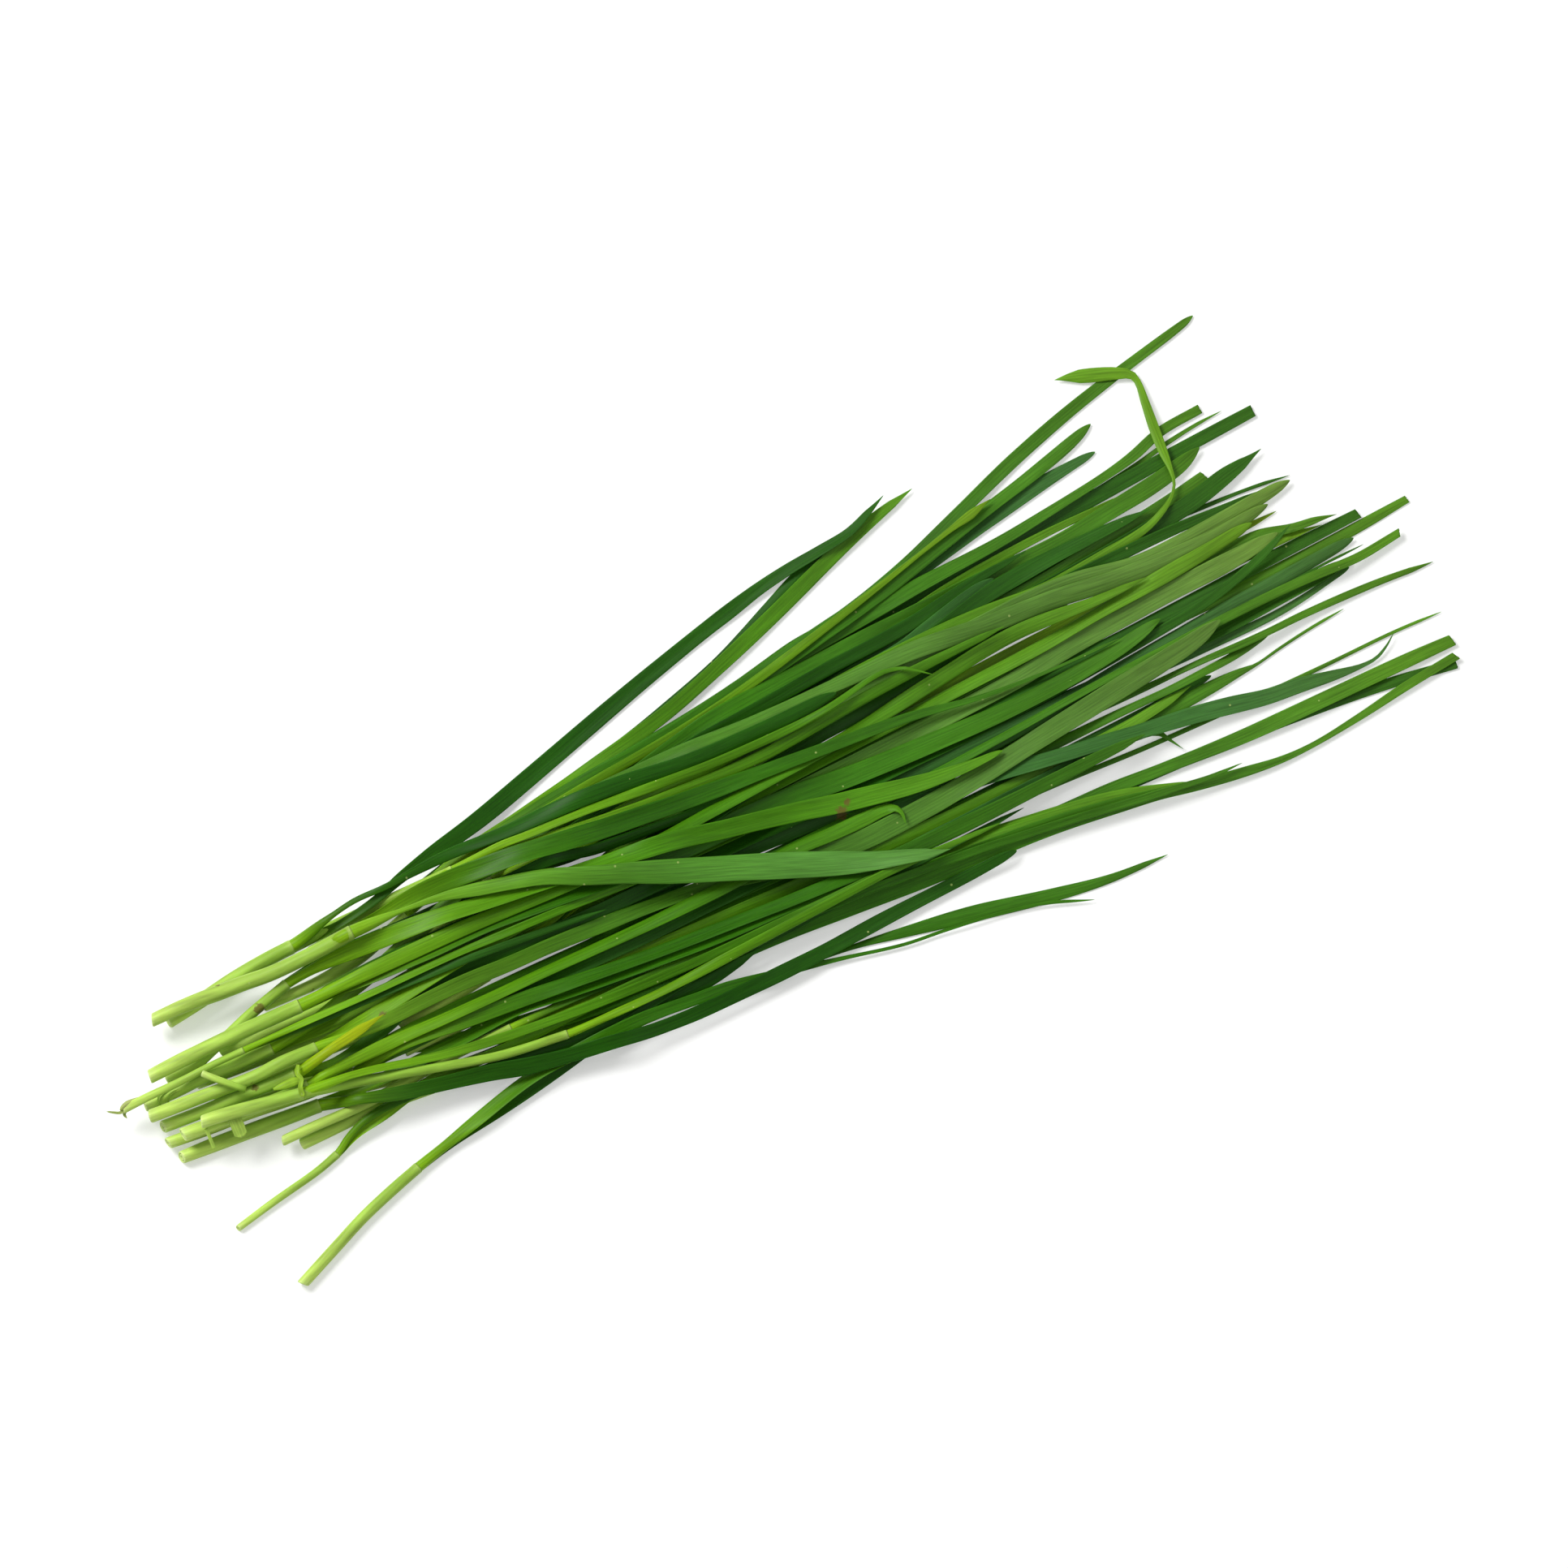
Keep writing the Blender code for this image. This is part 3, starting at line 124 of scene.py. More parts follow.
# Each row is a shoot: its stem as (x, y, width) from cut end to collar, and its leaves. A leaf is its tip,
# the stem point that it leaves, its finish, and its route as (x, y, width).
BURIED = [
    ("shoot_01", [(-142, -21.8, 3.2), (-130, -24.5, 3.4), (-116, -28.5, 3)], [
        ("taper", 2, "mid", [(-98, -30, 2), (-40, -32.5, 2), (20, -33.5, 1.6), (60, -35, 1.3),
            (95, -38, 1.3), (130, -39.9, 1.4), (150, -40.6, 1.1), (170, -41.1, 0.9), (184.5, -42.2, 0.8)]),
        ("cut", 2, "dark_and_shade", [(-98, -31.5, 3), (-60, -35, 3.4), (0, -38, 3.4), (50, -42, 3.4),
            (80, -44.5, 3), (120, -48, 3), (150, -51.6, 3), (165, -54, 3), (181, -57.2, 2.8)]),
        ("cut", 2, "mid", [(-98, -31, 3.6), (-60, -34, 4), (0, -37.5, 4), (60, -43, 3.4),
            (80, -43.9, 3.1), (95, -45.5, 3), (120, -47.9, 3.9), (150, -49.3, 4.4), (170, -50.1, 3.9),
            (183.3, -50.8, 3.2)])]),
    ("shoot_02", [(-180, -8.3, 3.4), (-166, -10.3, 3.4), (-150, -12.6, 3.4), (-137, -14.4, 3.2)], [
        ("taper", 3, "light", [(-100, -25, 3), (-50, -31.5, 3), (0, -35, 3), (35, -38, 3),
            (60, -42.3, 3.2), (80, -46.8, 3.4), (95, -51.5, 2.2), (104, -54.6, 1)]),
        ("cut", 3, "mid", [(-100, -27, 4), (-60, -33.5, 5), (-20, -36.5, 5), (0, -38.8, 5.2),
            (30, -42.1, 5), (60, -45.4, 4), (80, -49, 3.6), (90, -51.2, 3), (100, -53.8, 3),
            (115, -57, 2.6), (125, -58.6, 1.9), (135, -59, 1.5), (150, -58, 1.9), (165, -56.4, 2.4),
            (182, -55.2, 2.4)])]),
    ("shoot_03", [(-128, -18, 3.2), (-113, -18.5, 3.3), (-97, -19.8, 2.9)], [
        ("round", 2, "dark_and_shade", [(-80, -21, 3), (-40, -24.5, 3.6), (0, -27.5, 4), (30, -29, 3.6),
            (80, -29, 2.8), (119.3, -28.3, 2)]),
        ("taper", 2, "mid", [(-80, -20, 3), (-40, -22.5, 3.4), (40, -29.5, 3.4), (95, -31.8, 3.4),
            (118, -31.2, 3.4), (127, -31.2, 2), (131.5, -31.4, 0.9), (140, -30.3, 0.8), (150, -29.3, 0.8),
            (161, -28.7, 0.8)]),
        ("taper", 2, "light", [(-80, -21.5, 2.4), (-40, -25, 2.6), (40, -30, 3), (90, -30.2, 3),
            (105, -29, 2.6), (113, -28.2, 1.2)]),
        ("round", 2, "mid", [(-80, -19, 2.6), (-40, -20.5, 3), (0, -23, 3), (40, -24.5, 2.6),
            (90, -25.8, 2.3), (110, -26.6, 2.3), (122, -26.5, 2.4), (131, -26, 2.2), (139.5, -25.2, 1.2)])]),
    ("shoot_04", [(-181, -3.7, 3.9), (-166, -5.5, 3.9), (-150, -7, 3.9), (-136, -8.6, 3.4)], [
        ("taper", 3, "mid", [(-100, -8, 2.4), (-40, -15, 2.6), (40, -18.5, 2.6), (90, -22, 2.2),
            (104, -22.9, 1.8), (113, -23.2, 1.8), (121, -23.6, 2.1), (130, -24.3, 2.5), (140, -24.7, 2.3),
            (150, -24.9, 2.2), (165, -25.8, 2), (175, -26.7, 1.8), (185, -28, 1.4), (189.4, -28.5, 1)]),
        ("round", 3, "teal", [(-100, -6, 2.4), (-40, -11, 2.6), (40, -16, 2.6), (120, -20.3, 2.6),
            (145, -21.2, 2), (168, -18.9, 1.4)]),
        ("round", 3, "dark_and_shade", [(-100, -4, 3.4), (-40, -8, 4), (40, -13, 4), (125, -17.5, 4.6),
            (150, -17.4, 4.4), (169, -17.2, 3)])]),
    ("shoot_05", [(-183, 1.1, 3.9), (-166, -0.9, 3.9), (-150, -2.4, 3.9), (-137, -3.6, 3.5)], [
        ("cut", 3, "mid", [(-100, 2, 2.4), (-40, -3, 2.4), (40, -7, 2.2), (100, -9, 2.8),
            (150, -10.2, 3.3), (175, -9.9, 3.1), (191.5, -9.2, 2.1)]),
        ("round", 3, "teal", [(-100, 0, 3.6), (-40, -9, 4), (30, -15, 4), (80, -16, 4), (100, -14.4, 4),
            (130, -13.2, 3.6), (150, -12.9, 3.6), (173, -12.1, 2.8)]),
        ("cut", 3, "dark_and_shade", [(-100, 3, 3.6), (-40, -1, 4), (40, -5, 4), (90, -7, 4), (130, -6.8, 4),
            (150, -6.5, 3.8), (177.5, -6.5, 2.9)])]),
    ("shoot_06", [(-173, 4.8, 3.5), (-162, 4.6, 3.6), (-150, 4.2, 3.6), (-137, 3.2, 3.3)], [
        ("taper", 3, "dark_and_shade", [(-100, 9, 2), (-40, 10.5, 2), (40, 14, 2), (100, 17.5, 1.8),
            (127, 16.6, 1.6), (140, 15.4, 1.3), (151, 14.4, 1), (158.6, 13.4, 1), (166, 12.1, 0.8)]),
        ("taper", 3, "mid", [(-100, 10, 2), (-40, 20, 2), (40, 28.5, 1.8), (110, 33, 1.5),
            (130, 34.8, 1.4), (140, 36.3, 1.3), (150, 37.2, 1), (158, 37.4, 0.8)]),
        ("cut", 3, "dark_and_shade", [(-100, 11.5, 3.6), (-40, 22, 4), (10, 27, 4), (60, 30, 4), (100, 31.6, 4),
            (130, 32.4, 4), (140, 32.8, 3.7), (165.7, 33.3, 3.3)]),
        ("taper", 3, "light", [(-100, 10.8, 2), (-40, 20.5, 2.6), (0, 23.8, 2.8), (30, 24.8, 2.8),
            (50, 26, 2.6), (70, 28.2, 2.6), (90, 29.2, 2.2), (110, 28.9, 1.8), (126, 28.4, 1)])]),
    ("shoot_07", [(-157, 11.6, 3), (-148, 11, 3.2), (-140, 10.6, 3.4), (-126, 11.6, 3.8),
        (-110, 16, 3)], [
        ("taper", 4, "dark_and_shade", [(-90, 22.5, 3), (-50, 28, 3.4), (-20, 33.6, 3.4), (0, 38.8, 3.2),
            (10, 42.2, 3.2), (20, 46.2, 3.2), (30, 50.2, 3), (40, 53.4, 2.6), (48, 55, 2), (55.8, 56.2, 1)]),
        ("round", 4, "teal", [(-90, 20, 4), (-50, 25, 4.6), (0, 28.5, 5), (40, 33, 5), (60, 36.8, 4.6),
            (80, 40, 4.8), (90, 41.2, 4.8), (100, 42.2, 4.3), (110, 42.9, 3.2), (121.3, 43.5, 1.8)]),
        ("round", 4, "mid", [(-90, 21, 4), (-60, 24, 4.4), (-30, 26.4, 4.2), (-12, 28, 4), (0, 29.8, 4),
            (20, 32.8, 4), (30, 33.5, 3.8), (45, 35.9, 3.6), (60, 39.6, 3.5), (80, 45.8, 3.3),
            (100, 52, 3.6), (120, 57.1, 3.4), (140, 61, 2.9), (160, 64.5, 2.1), (164, 65.4, 1.3)])]),
    ("shoot_08", [(-138, 19.2, 3.2), (-122, 19.6, 3.3), (-106, 21, 2.9)], [
        ("taper", 2, "light", [(-88, 24, 3), (-70, 26, 3.2), (-50, 28.5, 3.4), (-20, 33.1, 3.2),
            (0, 38.2, 3.2), (20, 44.1, 3.4), (30, 47.3, 3.4), (40, 50.5, 3.2), (50, 53.5, 3),
            (60, 55.9, 2.3), (71.3, 58.1, 1)]),
        ("cut", 2, "mid", [(-88, 22, 3.6), (-50, 25.5, 4), (20, 31, 4), (60, 32.6, 3.8), (85, 33, 3.4),
            (100, 34.1, 3.1), (120, 35.9, 2.9), (130, 37.4, 3.1), (140, 40.1, 2.7), (152.9, 40.7, 2.6)]),
        ("round", 2, "mid", [(-88, 23, 4), (-50, 26, 4.2), (-20, 27.2, 4), (0, 29.4, 4.2), (20, 32, 4.2),
            (40, 34.6, 4), (60, 38, 3.6), (80, 41.8, 3.2), (90, 43.6, 3.2), (100, 45.4, 3.4),
            (110, 47.5, 3.6), (117, 49.2, 3.3), (124, 51.2, 1.7)]),
        ("taper", 2, "sallow", [(-88, 22.5, 2), (-50, 25, 2.2), (-10, 27.6, 2), (20, 32, 2),
            (50, 37.6, 1.4), (65, 40.6, 1), (75, 42.6, 1.4), (82, 43.8, 2.4), (86, 44.6, 2),
            (89, 45.2, 0.9)])]),
    ("shoot_09", [(-124, 6.8, 3), (-108, 7.5, 3.2), (-92, 9, 2.8)], [
        ("taper", 2, "dark_and_shade", [(-72, 12, 3), (-30, 19, 3.4), (10, 21.6, 3.6), (30, 22.2, 3.6),
            (45, 21.6, 2.8), (57, 20.2, 1.1)]),
        ("taper", 2, "dark_and_shade", [(-72, 11.5, 3), (-30, 15.5, 3.4), (30, 18.5, 3.8), (70, 20.3, 4),
            (100, 20, 3.8), (118, 20.6, 1.6)]),
        ("cut", 2, "mid", [(-72, 11, 3.5), (-30, 14.5, 3.5), (30, 15.5, 3.5), (90, 17.5, 3.5),
            (110, 19.3, 3.5), (130, 21, 3.5), (145, 22.9, 3.5)]),
        ("round", 2, "mid", [(-72, 13.5, 4), (-50, 18.5, 4), (-10, 24.5, 4), (40, 26, 4), (60, 26, 3.8),
            (80, 25.9, 3.6), (100, 25.4, 3.8), (120, 26.7, 4.6), (130, 27.5, 4.7), (140, 29, 4.1),
            (147.5, 31, 2.6)]),
        ("taper", 2, "dark_and_shade", [(-72, 12.5, 3), (-30, 20, 3), (20, 23, 3), (52, 24, 3), (72, 26.3, 2.4),
            (91, 27.4, 1)])]),
    ("shoot_10", [(-112, 12.5, 3), (-98, 13, 3.2), (-84, 13.5, 2.8)], [
        ("taper", 2, "dark_and_shade", [(-66, 10.8, 4), (-30, 10.5, 4), (40, 13, 4.4), (100, 15.5, 4.5),
            (130, 17.2, 4.6), (140, 18.4, 4.8), (150, 20.4, 4.4), (157, 21.5, 2.6), (162.6, 22.6, 1.1)]),
        ("round", 2, "teal", [(-66, 14.5, 3), (-40, 18, 3), (10, 18.5, 3), (47, 19, 3), (55, 20.5, 3),
            (70, 23.4, 3), (79, 24.6, 2.4)]),
        ("taper", 2, "dark_and_shade", [(-66, 13.5, 3), (-30, 17, 3), (30, 17.5, 3), (55, 18.2, 3), (66, 20, 3.2),
            (80, 21.8, 4), (95, 22.3, 4.4), (110, 22.2, 3.8), (127, 21.8, 1.4)]),
        ("taper", 2, "light", [(-66, 12.3, 4), (-30, 14, 4.4), (30, 17, 5), (70, 16.5, 4.4),
            (90, 14.7, 4), (100, 15.2, 3.6), (110, 16, 3.2), (120, 16.9, 2.4), (126, 18.2, 1.9),
            (131, 20.3, 1.5), (134.3, 22.6, 0.9), (136.4, 25.3, 0.8), (137.3, 29, 1.2), (138, 35, 2.5),
            (139, 42, 2.8), (140.4, 50, 2.3), (141.3, 55.5, 1.8), (140.9, 58, 2.2), (137.5, 60.5, 3.2),
            (130, 63.8, 3.8), (124.5, 66, 2.8), (121, 67.1, 1.3)])]),
    ("shoot_11", [(-126, -11.5, 3), (-112, -11, 3.2), (-98, -10, 2.8)], [
        ("taper", 2, "dark_and_shade", [(-75, -4, 2.6), (-40, 3, 3.4), (0, 6.8, 3.8), (40, 7.9, 3.8),
            (80, 9.2, 3.2), (100, 9.5, 1.6)]),
        ("taper", 2, "light", [(-75, -6.5, 2.4), (-30, -3, 2.6), (40, -2, 2.6), (120, -2.5, 3),
            (150, -2.8, 3), (160, -3.7, 2), (167, -4.6, 1)]),
        ("taper", 2, "mid", [(-75, -6, 3), (-30, -1, 3), (40, 0, 3), (100, 0.5, 3), (135, 1, 3),
            (150, 0.9, 3.4), (160, -1.6, 2.8), (167, -2.7, 2.2), (172, -3.9, 1.1)]),
        ("taper", 2, "sallow", [(-75, -5, 2.2), (-30, 1.5, 2.2), (40, 3, 2.6), (100, 4, 2.4),
            (140, 4.5, 2), (157.7, 4.8, 1.2)]),
        ("taper", 2, "dark_and_shade", [(-75, -4.5, 2.4), (-30, 6, 3), (20, 11, 3.4), (60, 13.5, 3.6),
            (100, 14.3, 3.6), (130, 13.5, 3), (145, 12.4, 2.1), (158.6, 11.7, 1.1)]),
        ("round", 2, "painted_sheen", [(-75, -3, 4), (-40, 7, 4.2), (20, 12, 4.5), (60, 14, 4.5), (95, 13.8, 4.5),
            (115, 9.8, 4.5), (130, 9.3, 4.4), (150, 9.9, 4.2), (159, 10.5, 3.2), (165.3, 10.9, 1.8)])]),
]

# What each finish looks like: red, green and blue. Most are the leaves' own greens, but two carry painted
# sheen, the grey-blue of a gloss reflection put into the colour, and the darkest is deepened by painted shade.
LEAF_GREENS = {
    "mid": (0.046, 0.168, 0.004),
    "light": (0.088, 0.250, 0.006),
    # Painted sheen: a mid green, greyed and blued as a gloss reflection makes it.
    "painted_sheen": (0.096, 0.232, 0.022),
    # The broad band leaf: a light green with painted sheen.
    "band_sheen": (0.115, 0.280, 0.044),
    # A deep green, darkened further by painted shade, for leaves that lie in the shadow of others.
    "dark_and_shade": (0.020, 0.098, 0.002),
    "teal": (0.036, 0.132, 0.015),
    "sallow": (0.110, 0.240, 0.003),
    "yellow": (0.400, 0.450, 0.005),
    "faded": (0.062, 0.198, 0.004),
}

# Near the collar a leaf is bright yellow-green, over a length that its finish sets.
LEAF_FOOT = (0.195, 0.395, 0.007)
LEAF_FOOT_LENGTH = {"mid": 18.0, "light": 34.0, "band_sheen": 30.0, "dark_and_shade": 8.0, "teal": 8.0, "sallow": 40.0,
                    "yellow": 10.0, "painted_sheen": 24.0, "faded": 45.0}

# Leaves are darker about the middle of the bunch, partly a deeper green and partly painted shade of the thick
# pile there, and turn lighter and olive towards their ends: x along the bunch, and what red, green and blue
# are multiplied by there.
PLACES = (-170.0, -120.0, -80.0, -40.0, 0.0, 40.0, 80.0, 120.0, 160.0, 190.0)
RED_THERE = (0.90, 0.74, 0.55, 0.52, 0.64, 0.84, 1.02, 1.22, 1.52, 1.70)
GREEN_THERE = (0.92, 0.84, 0.73, 0.71, 0.77, 0.88, 0.96, 1.03, 1.14, 1.22)
BLUE_THERE = (0.8, 0.6, 0.3, 0.4, 0.7, 1.0, 1.3, 1.5, 1.6, 1.6)
TIP_BLUE = 0.004
TIP_BLUE_FULL_AT = 100.0

# The pile as laid so far: a height for every cell of the table top, in millimetres.
CELL = 0.25
GAP = 0.27
PILE_LOW = np.array([-215.0, -80.0])
PILE_SIZE = (420.0, 160.0)
pile = np.full((int(PILE_SIZE[0] / CELL), int(PILE_SIZE[1] / CELL)), -GAP)

PER_SPAN = 24


def spline(points):
    """Centripetal Catmull-Rom curve through the rows: between two points, a blend of the lines through the
    four nearest, with knots spaced by the square root of the distance, PER_SPAN samples a span."""
    rows = np.asarray(points, float)
    ends = np.vstack([2 * rows[0] - rows[1], rows, 2 * rows[-1] - rows[-2]])
    knots = np.concatenate([[0], np.cumsum(np.linalg.norm(np.diff(ends[:, :2], axis=0), axis=1) ** 0.5)])
    out = []
    for i in range(1, len(ends) - 2):
        t = np.linspace(knots[i], knots[i + 1], PER_SPAN, endpoint=False)[:, None]
        t0, t1, t2, t3 = knots[i - 1 : i + 3]
        p0, p1, p2, p3 = ends[i - 1 : i + 3]
        a1 = (t1 - t) / (t1 - t0) * p0 + (t - t0) / (t1 - t0) * p1
        a2 = (t2 - t) / (t2 - t1) * p1 + (t - t1) / (t2 - t1) * p2
        a3 = (t3 - t) / (t3 - t2) * p2 + (t - t2) / (t3 - t2) * p3
        b1 = (t2 - t) / (t2 - t0) * a1 + (t - t0) / (t2 - t0) * a2
        b2 = (t3 - t) / (t3 - t1) * a2 + (t - t1) / (t3 - t1) * a3
        out.append((t2 - t) / (t2 - t1) * b1 + (t - t1) / (t2 - t1) * b2)
    out.append(rows[-1:])
    return np.vstack(out)


def lengths(curve):
    """Distance along a sampled curve: the running sum of its steps."""
    return np.concatenate([[0], np.cumsum(np.linalg.norm(np.diff(curve[:, :2], axis=0), axis=1))])


STATION_TURN = math.radians(24)
STATION_APART = 4.0


def stations_of(curve, step, extra=()):
    """Distances of the stations: the running sum of length / step and turn / STATION_TURN, cut evenly."""
    along = lengths(curve)
    heading = np.unwrap(np.arctan2(np.gradient(curve[:, 1]), np.gradient(curve[:, 0])))
    turned = np.concatenate([[0], np.cumsum(np.abs(np.diff(heading)))])
    cost = along / step + turned / STATION_TURN
    count = max(2, int(math.ceil(cost[-1])))
    found = np.interp(np.linspace(0, cost[-1], count + 1), cost, along)
    for value in extra:
        if len(found) > 2:
            near = np.abs(found - value) < STATION_APART
            near[0] = near[-1] = False
            found = found[~near]
        found = np.append(found, value)
    return np.unique(np.round(found, 6))


def frame_at(curve, at):
    """Point, width and unit sideways direction, square to the route's slope, at each distance."""
    along = lengths(curve)
    x, y, w = (np.interp(at, along, curve[:, i]) for i in range(3))
    tangent = np.stack([np.gradient(curve[:, 0], along), np.gradient(curve[:, 1], along)], 1)
    tx, ty = (np.interp(at, along, tangent[:, i]) for i in range(2))
    size = np.hypot(tx, ty)
    return np.stack([x, y], 1), w, np.stack([-ty / size, tx / size], 1)


STEM_SIDES = 8
BLADE_THICKNESS = 0.65
UNDER_EDGE = 0.64


def stem_sections(width):
    """Rings of an even polygon round a circle of that width, one side level underneath."""
    angle = (np.arange(STEM_SIDES) + 0.5) * 2 * math.pi / STEM_SIDES
    radius = width / 2 / math.cos(math.pi / STEM_SIDES)
    return radius[:, None, None] * np.stack([np.cos(angle), np.sin(angle)], 1)[None]


def blade_sections(width, bank):
    """Four-cornered rings of a strap, narrower below, turned by the bank angle."""
    upper = width / 2
    lower = upper * UNDER_EDGE
    thick = np.full(len(width), BLADE_THICKNESS / 2)
    v = np.stack([upper, -upper, -lower, lower], 1)
    u = np.stack([thick, thick, -thick, -thick], 1)
    c = np.cos(bank)[:, None]
    s = np.sin(bank)[:, None]
    return np.stack([v * c - u * s, v * s + u * c], 2)


def widened():
    """The pile's heights, each cell raised to the highest of itself and its neighbours."""
    grown = pile.copy()
    for axis in (0, 1):
        grown = np.maximum(grown, np.maximum(np.roll(grown, 1, axis), np.roll(grown, -1, axis)))
    return grown


def cells(points):
    """Rows and columns of the pile's cells that hold the points."""
    index = np.floor((points - PILE_LOW) / CELL).astype(int)
    return index[..., 0], index[..., 1]


SAMPLE = 0.3
SAMPLES_ROUND = 65


def surface_samples(centre, side, rings, span):
    """Points over one span of a loft, the straight blend of its two rings: (part along, xy, height)."""
    length = np.linalg.norm(centre[span + 1] - centre[span])
    rows = max(2, int(math.ceil(length / SAMPLE)) + 1)
    s = np.linspace(0, 1, rows)[:, None]
    closed = np.concatenate([rings[span : span + 2], rings[span : span + 2, :1]], 1)
    columns = np.linspace(0, closed.shape[1] - 1, SAMPLES_ROUND)
    whole = np.minimum(columns.astype(int), closed.shape[1] - 2)
    part = (columns - whole)[None, :, None]
    round_it = closed[:, whole] * (1 - part) + closed[:, whole + 1] * part
    both = centre[span : span + 2, None] + round_it[..., :1] * side[span : span + 2, None]
    xy = both[0][None] * (1 - s[..., None]) + both[1][None] * s[..., None]
    up = round_it[0, :, 1][None] * (1 - s) + round_it[1, :, 1][None] * s
    return s[:, 0], xy, up


def needs_of(heights, centre, side, rings, spans):
    """For each span, how high the line between its two stations has to run, row by row."""
    found = []
    for span in spans:
        s, xy, up = surface_samples(centre, side, rings, span)
        found.append((span, s, (heights[cells(xy)] + GAP - up).max(axis=1)))
    return found


def smoothed(values):
    """Each value as half of itself and a quarter of both neighbours."""
    padded = np.concatenate([values[:1], values, values[-1:]])
    return 0.25 * padded[:-2] + 0.5 * padded[1:-1] + 0.25 * padded[2:]


LIFT_ROUNDS = 80
LEAST_LIFT = 1e-4
COLLAR_PART = 0.35
FAR_BELOW = -50.0
SETTLED = 0.12


def raise_to(z, needs, fixed):
    """Lifts the stations until the line between every two of them clears what it has to."""
    for _ in range(LIFT_ROUNDS):
        moved = 0.0
        for span, s, need in needs:
            if span + 1 <= fixed:
                continue
            short = need - (z[span] * (1 - s) + z[span + 1] * s)
            if span == fixed:
                short = np.where(s < COLLAR_PART, -1, short)
            worst = int(np.argmax(short))
            lift = short[worst]
            if lift < LEAST_LIFT:
                continue
            a, b = 1 - s[worst], s[worst]
            if span == fixed:
                z[span + 1] += lift / b
            else:
                z[span] += lift * a / (a * a + b * b)
                z[span + 1] += lift * b / (a * a + b * b)
            moved = max(moved, lift)
        if moved == 0.0:
            break
    return z


def settle(needs, count, rounds, start=None, fixed=-1):
    """Heights of the stations: as low as the pile allows, then eased by quarter, half, quarter means."""
    z = np.full(count, FAR_BELOW)
    for span, s, need in needs:
        z[span] = max(z[span], need[0])
        z[span + 1] = max(z[span + 1], need[-1])
    if start is not None:
        z[: fixed + 1] = start
    z = raise_to(z, needs, fixed)
    lowest = z.copy()
    for _ in range(rounds):
        eased = smoothed(z)
        if fixed >= 0:
            eased[: fixed + 1] = z[: fixed + 1]
        z = raise_to(eased, needs, fixed)
    return np.where(z - lowest < SETTLED, lowest, z)


def lay_on(centre, side, rings, z, first=0):
    """Raises the pile to the top of a loft that has been laid."""
    for span in range(first, len(z) - 1):
        s, xy, up = surface_samples(centre, side, rings, span)
        np.maximum.at(pile, cells(xy), up + (z[span] * (1 - s) + z[span + 1] * s)[:, None])


FEELERS = (0.2, 0.35, 0.5)
FEELER_SPAN = 0.7
MOST_LEAN = math.radians(24)


def lean_of(heights, centre, width, side):
    """Angle of a leaf on what is under its halves: their difference in height over FEELER_SPAN widths."""
    halves = []
    for sign in (1, -1):
        rows = [heights[cells(centre + sign * part * width[:, None] * side)] for part in FEELERS]
        halves.append(np.mean(rows, axis=0))
    lean = smoothed(smoothed(np.arctan2(halves[0] - halves[1], FEELER_SPAN * width)))
    return np.clip(lean, -MOST_LEAN, MOST_LEAN)


SEEN_SLOPE = 1 / math.tan(CAMERA_HEIGHT)


def drawn_back(points, z):
    """The route of something z high, from where it is seen: moved against the view by z / tan(its height)."""
    moved = np.array(points, float)
    moved[:, 0] -= SEEN_SLOPE * math.sin(CAMERA_TURN) * z
    moved[:, 1] -= SEEN_SLOPE * math.cos(CAMERA_TURN) * z
    return moved


def eased_through(at, values, fine):
    """Smooth curve through the stations' values: cubic spans whose slopes are the harmonic mean of the
    slopes on both sides, and level where those differ in sign, so that it never overshoots."""
    step = np.diff(at)
    slope = np.diff(values) / step
    both = slope[:-1] * slope[1:]
    safe = np.where(both > 0, slope[:-1] + slope[1:], 1.0)
    inner = np.where(both > 0, 2 * both / safe, 0.0)
    slopes = np.concatenate([slope[:1], inner, slope[-1:]])
    i = np.clip(np.searchsorted(at, fine) - 1, 0, len(step) - 1)
    t = (fine - at[i]) / step[i]
    rise = (2 * t**3 - 3 * t**2 + 1) * values[i] + (3 * t**2 - 2 * t**3) * values[i + 1]
    return rise + (t**3 - 2 * t**2 + t) * step[i] * slopes[i] + (t**3 - t**2) * step[i] * slopes[i + 1]


def eased_step(part):
    """A rise from 0 to 1, level at both ends: 3 t^2 - 2 t^3."""
    t = np.clip(part, 0, 1)
    return t * t * (3 - 2 * t)


WAVE_RANGE = (0.7, 1.6)


def soft_noise(seed, at, wave):
    """A smooth random line between -1 and 1: three sines, each about wave long, with phases from the seed.
    Every use of it on a leaf or stem adds its own small number to the seed."""
    draw = np.random.default_rng(seed)
    phases = draw.uniform(0, 2 * math.pi, 3)
    spans = wave * draw.uniform(*WAVE_RANGE, 3)
    return sum(np.sin(2 * math.pi * at / spans[k] + phases[k]) for k in range(3)) / 3


# How deep in the stem a leaf is rooted, and where along the bunch a buried leaf is slim, in millimetres.
ROOT_DEPTH = 6.0
SLIM_BELOW = -30.0
SLIM_ABOVE = 40.0

# A leaf's rings: how far apart, their points on top and underneath, and the thickness and channel.
FINE_STEP = 2.0
LEAST_RINGS = 12
LEAF_TOP = 13
LEAF_UNDER = 7
LEAF_BODY = 0.46
LEAF_RIM = 0.10
THIN_BELOW = 0.8
THINNEST = 0.25
CHANNEL = 0.055
CHANNEL_RANGE = (0.7, 1.5)
CHANNEL_UP_SHARE = 0.62
KEEL = 0.6
KEEL_ROUNDING = 0.01
CHANNEL_MIDDLE = 0.45

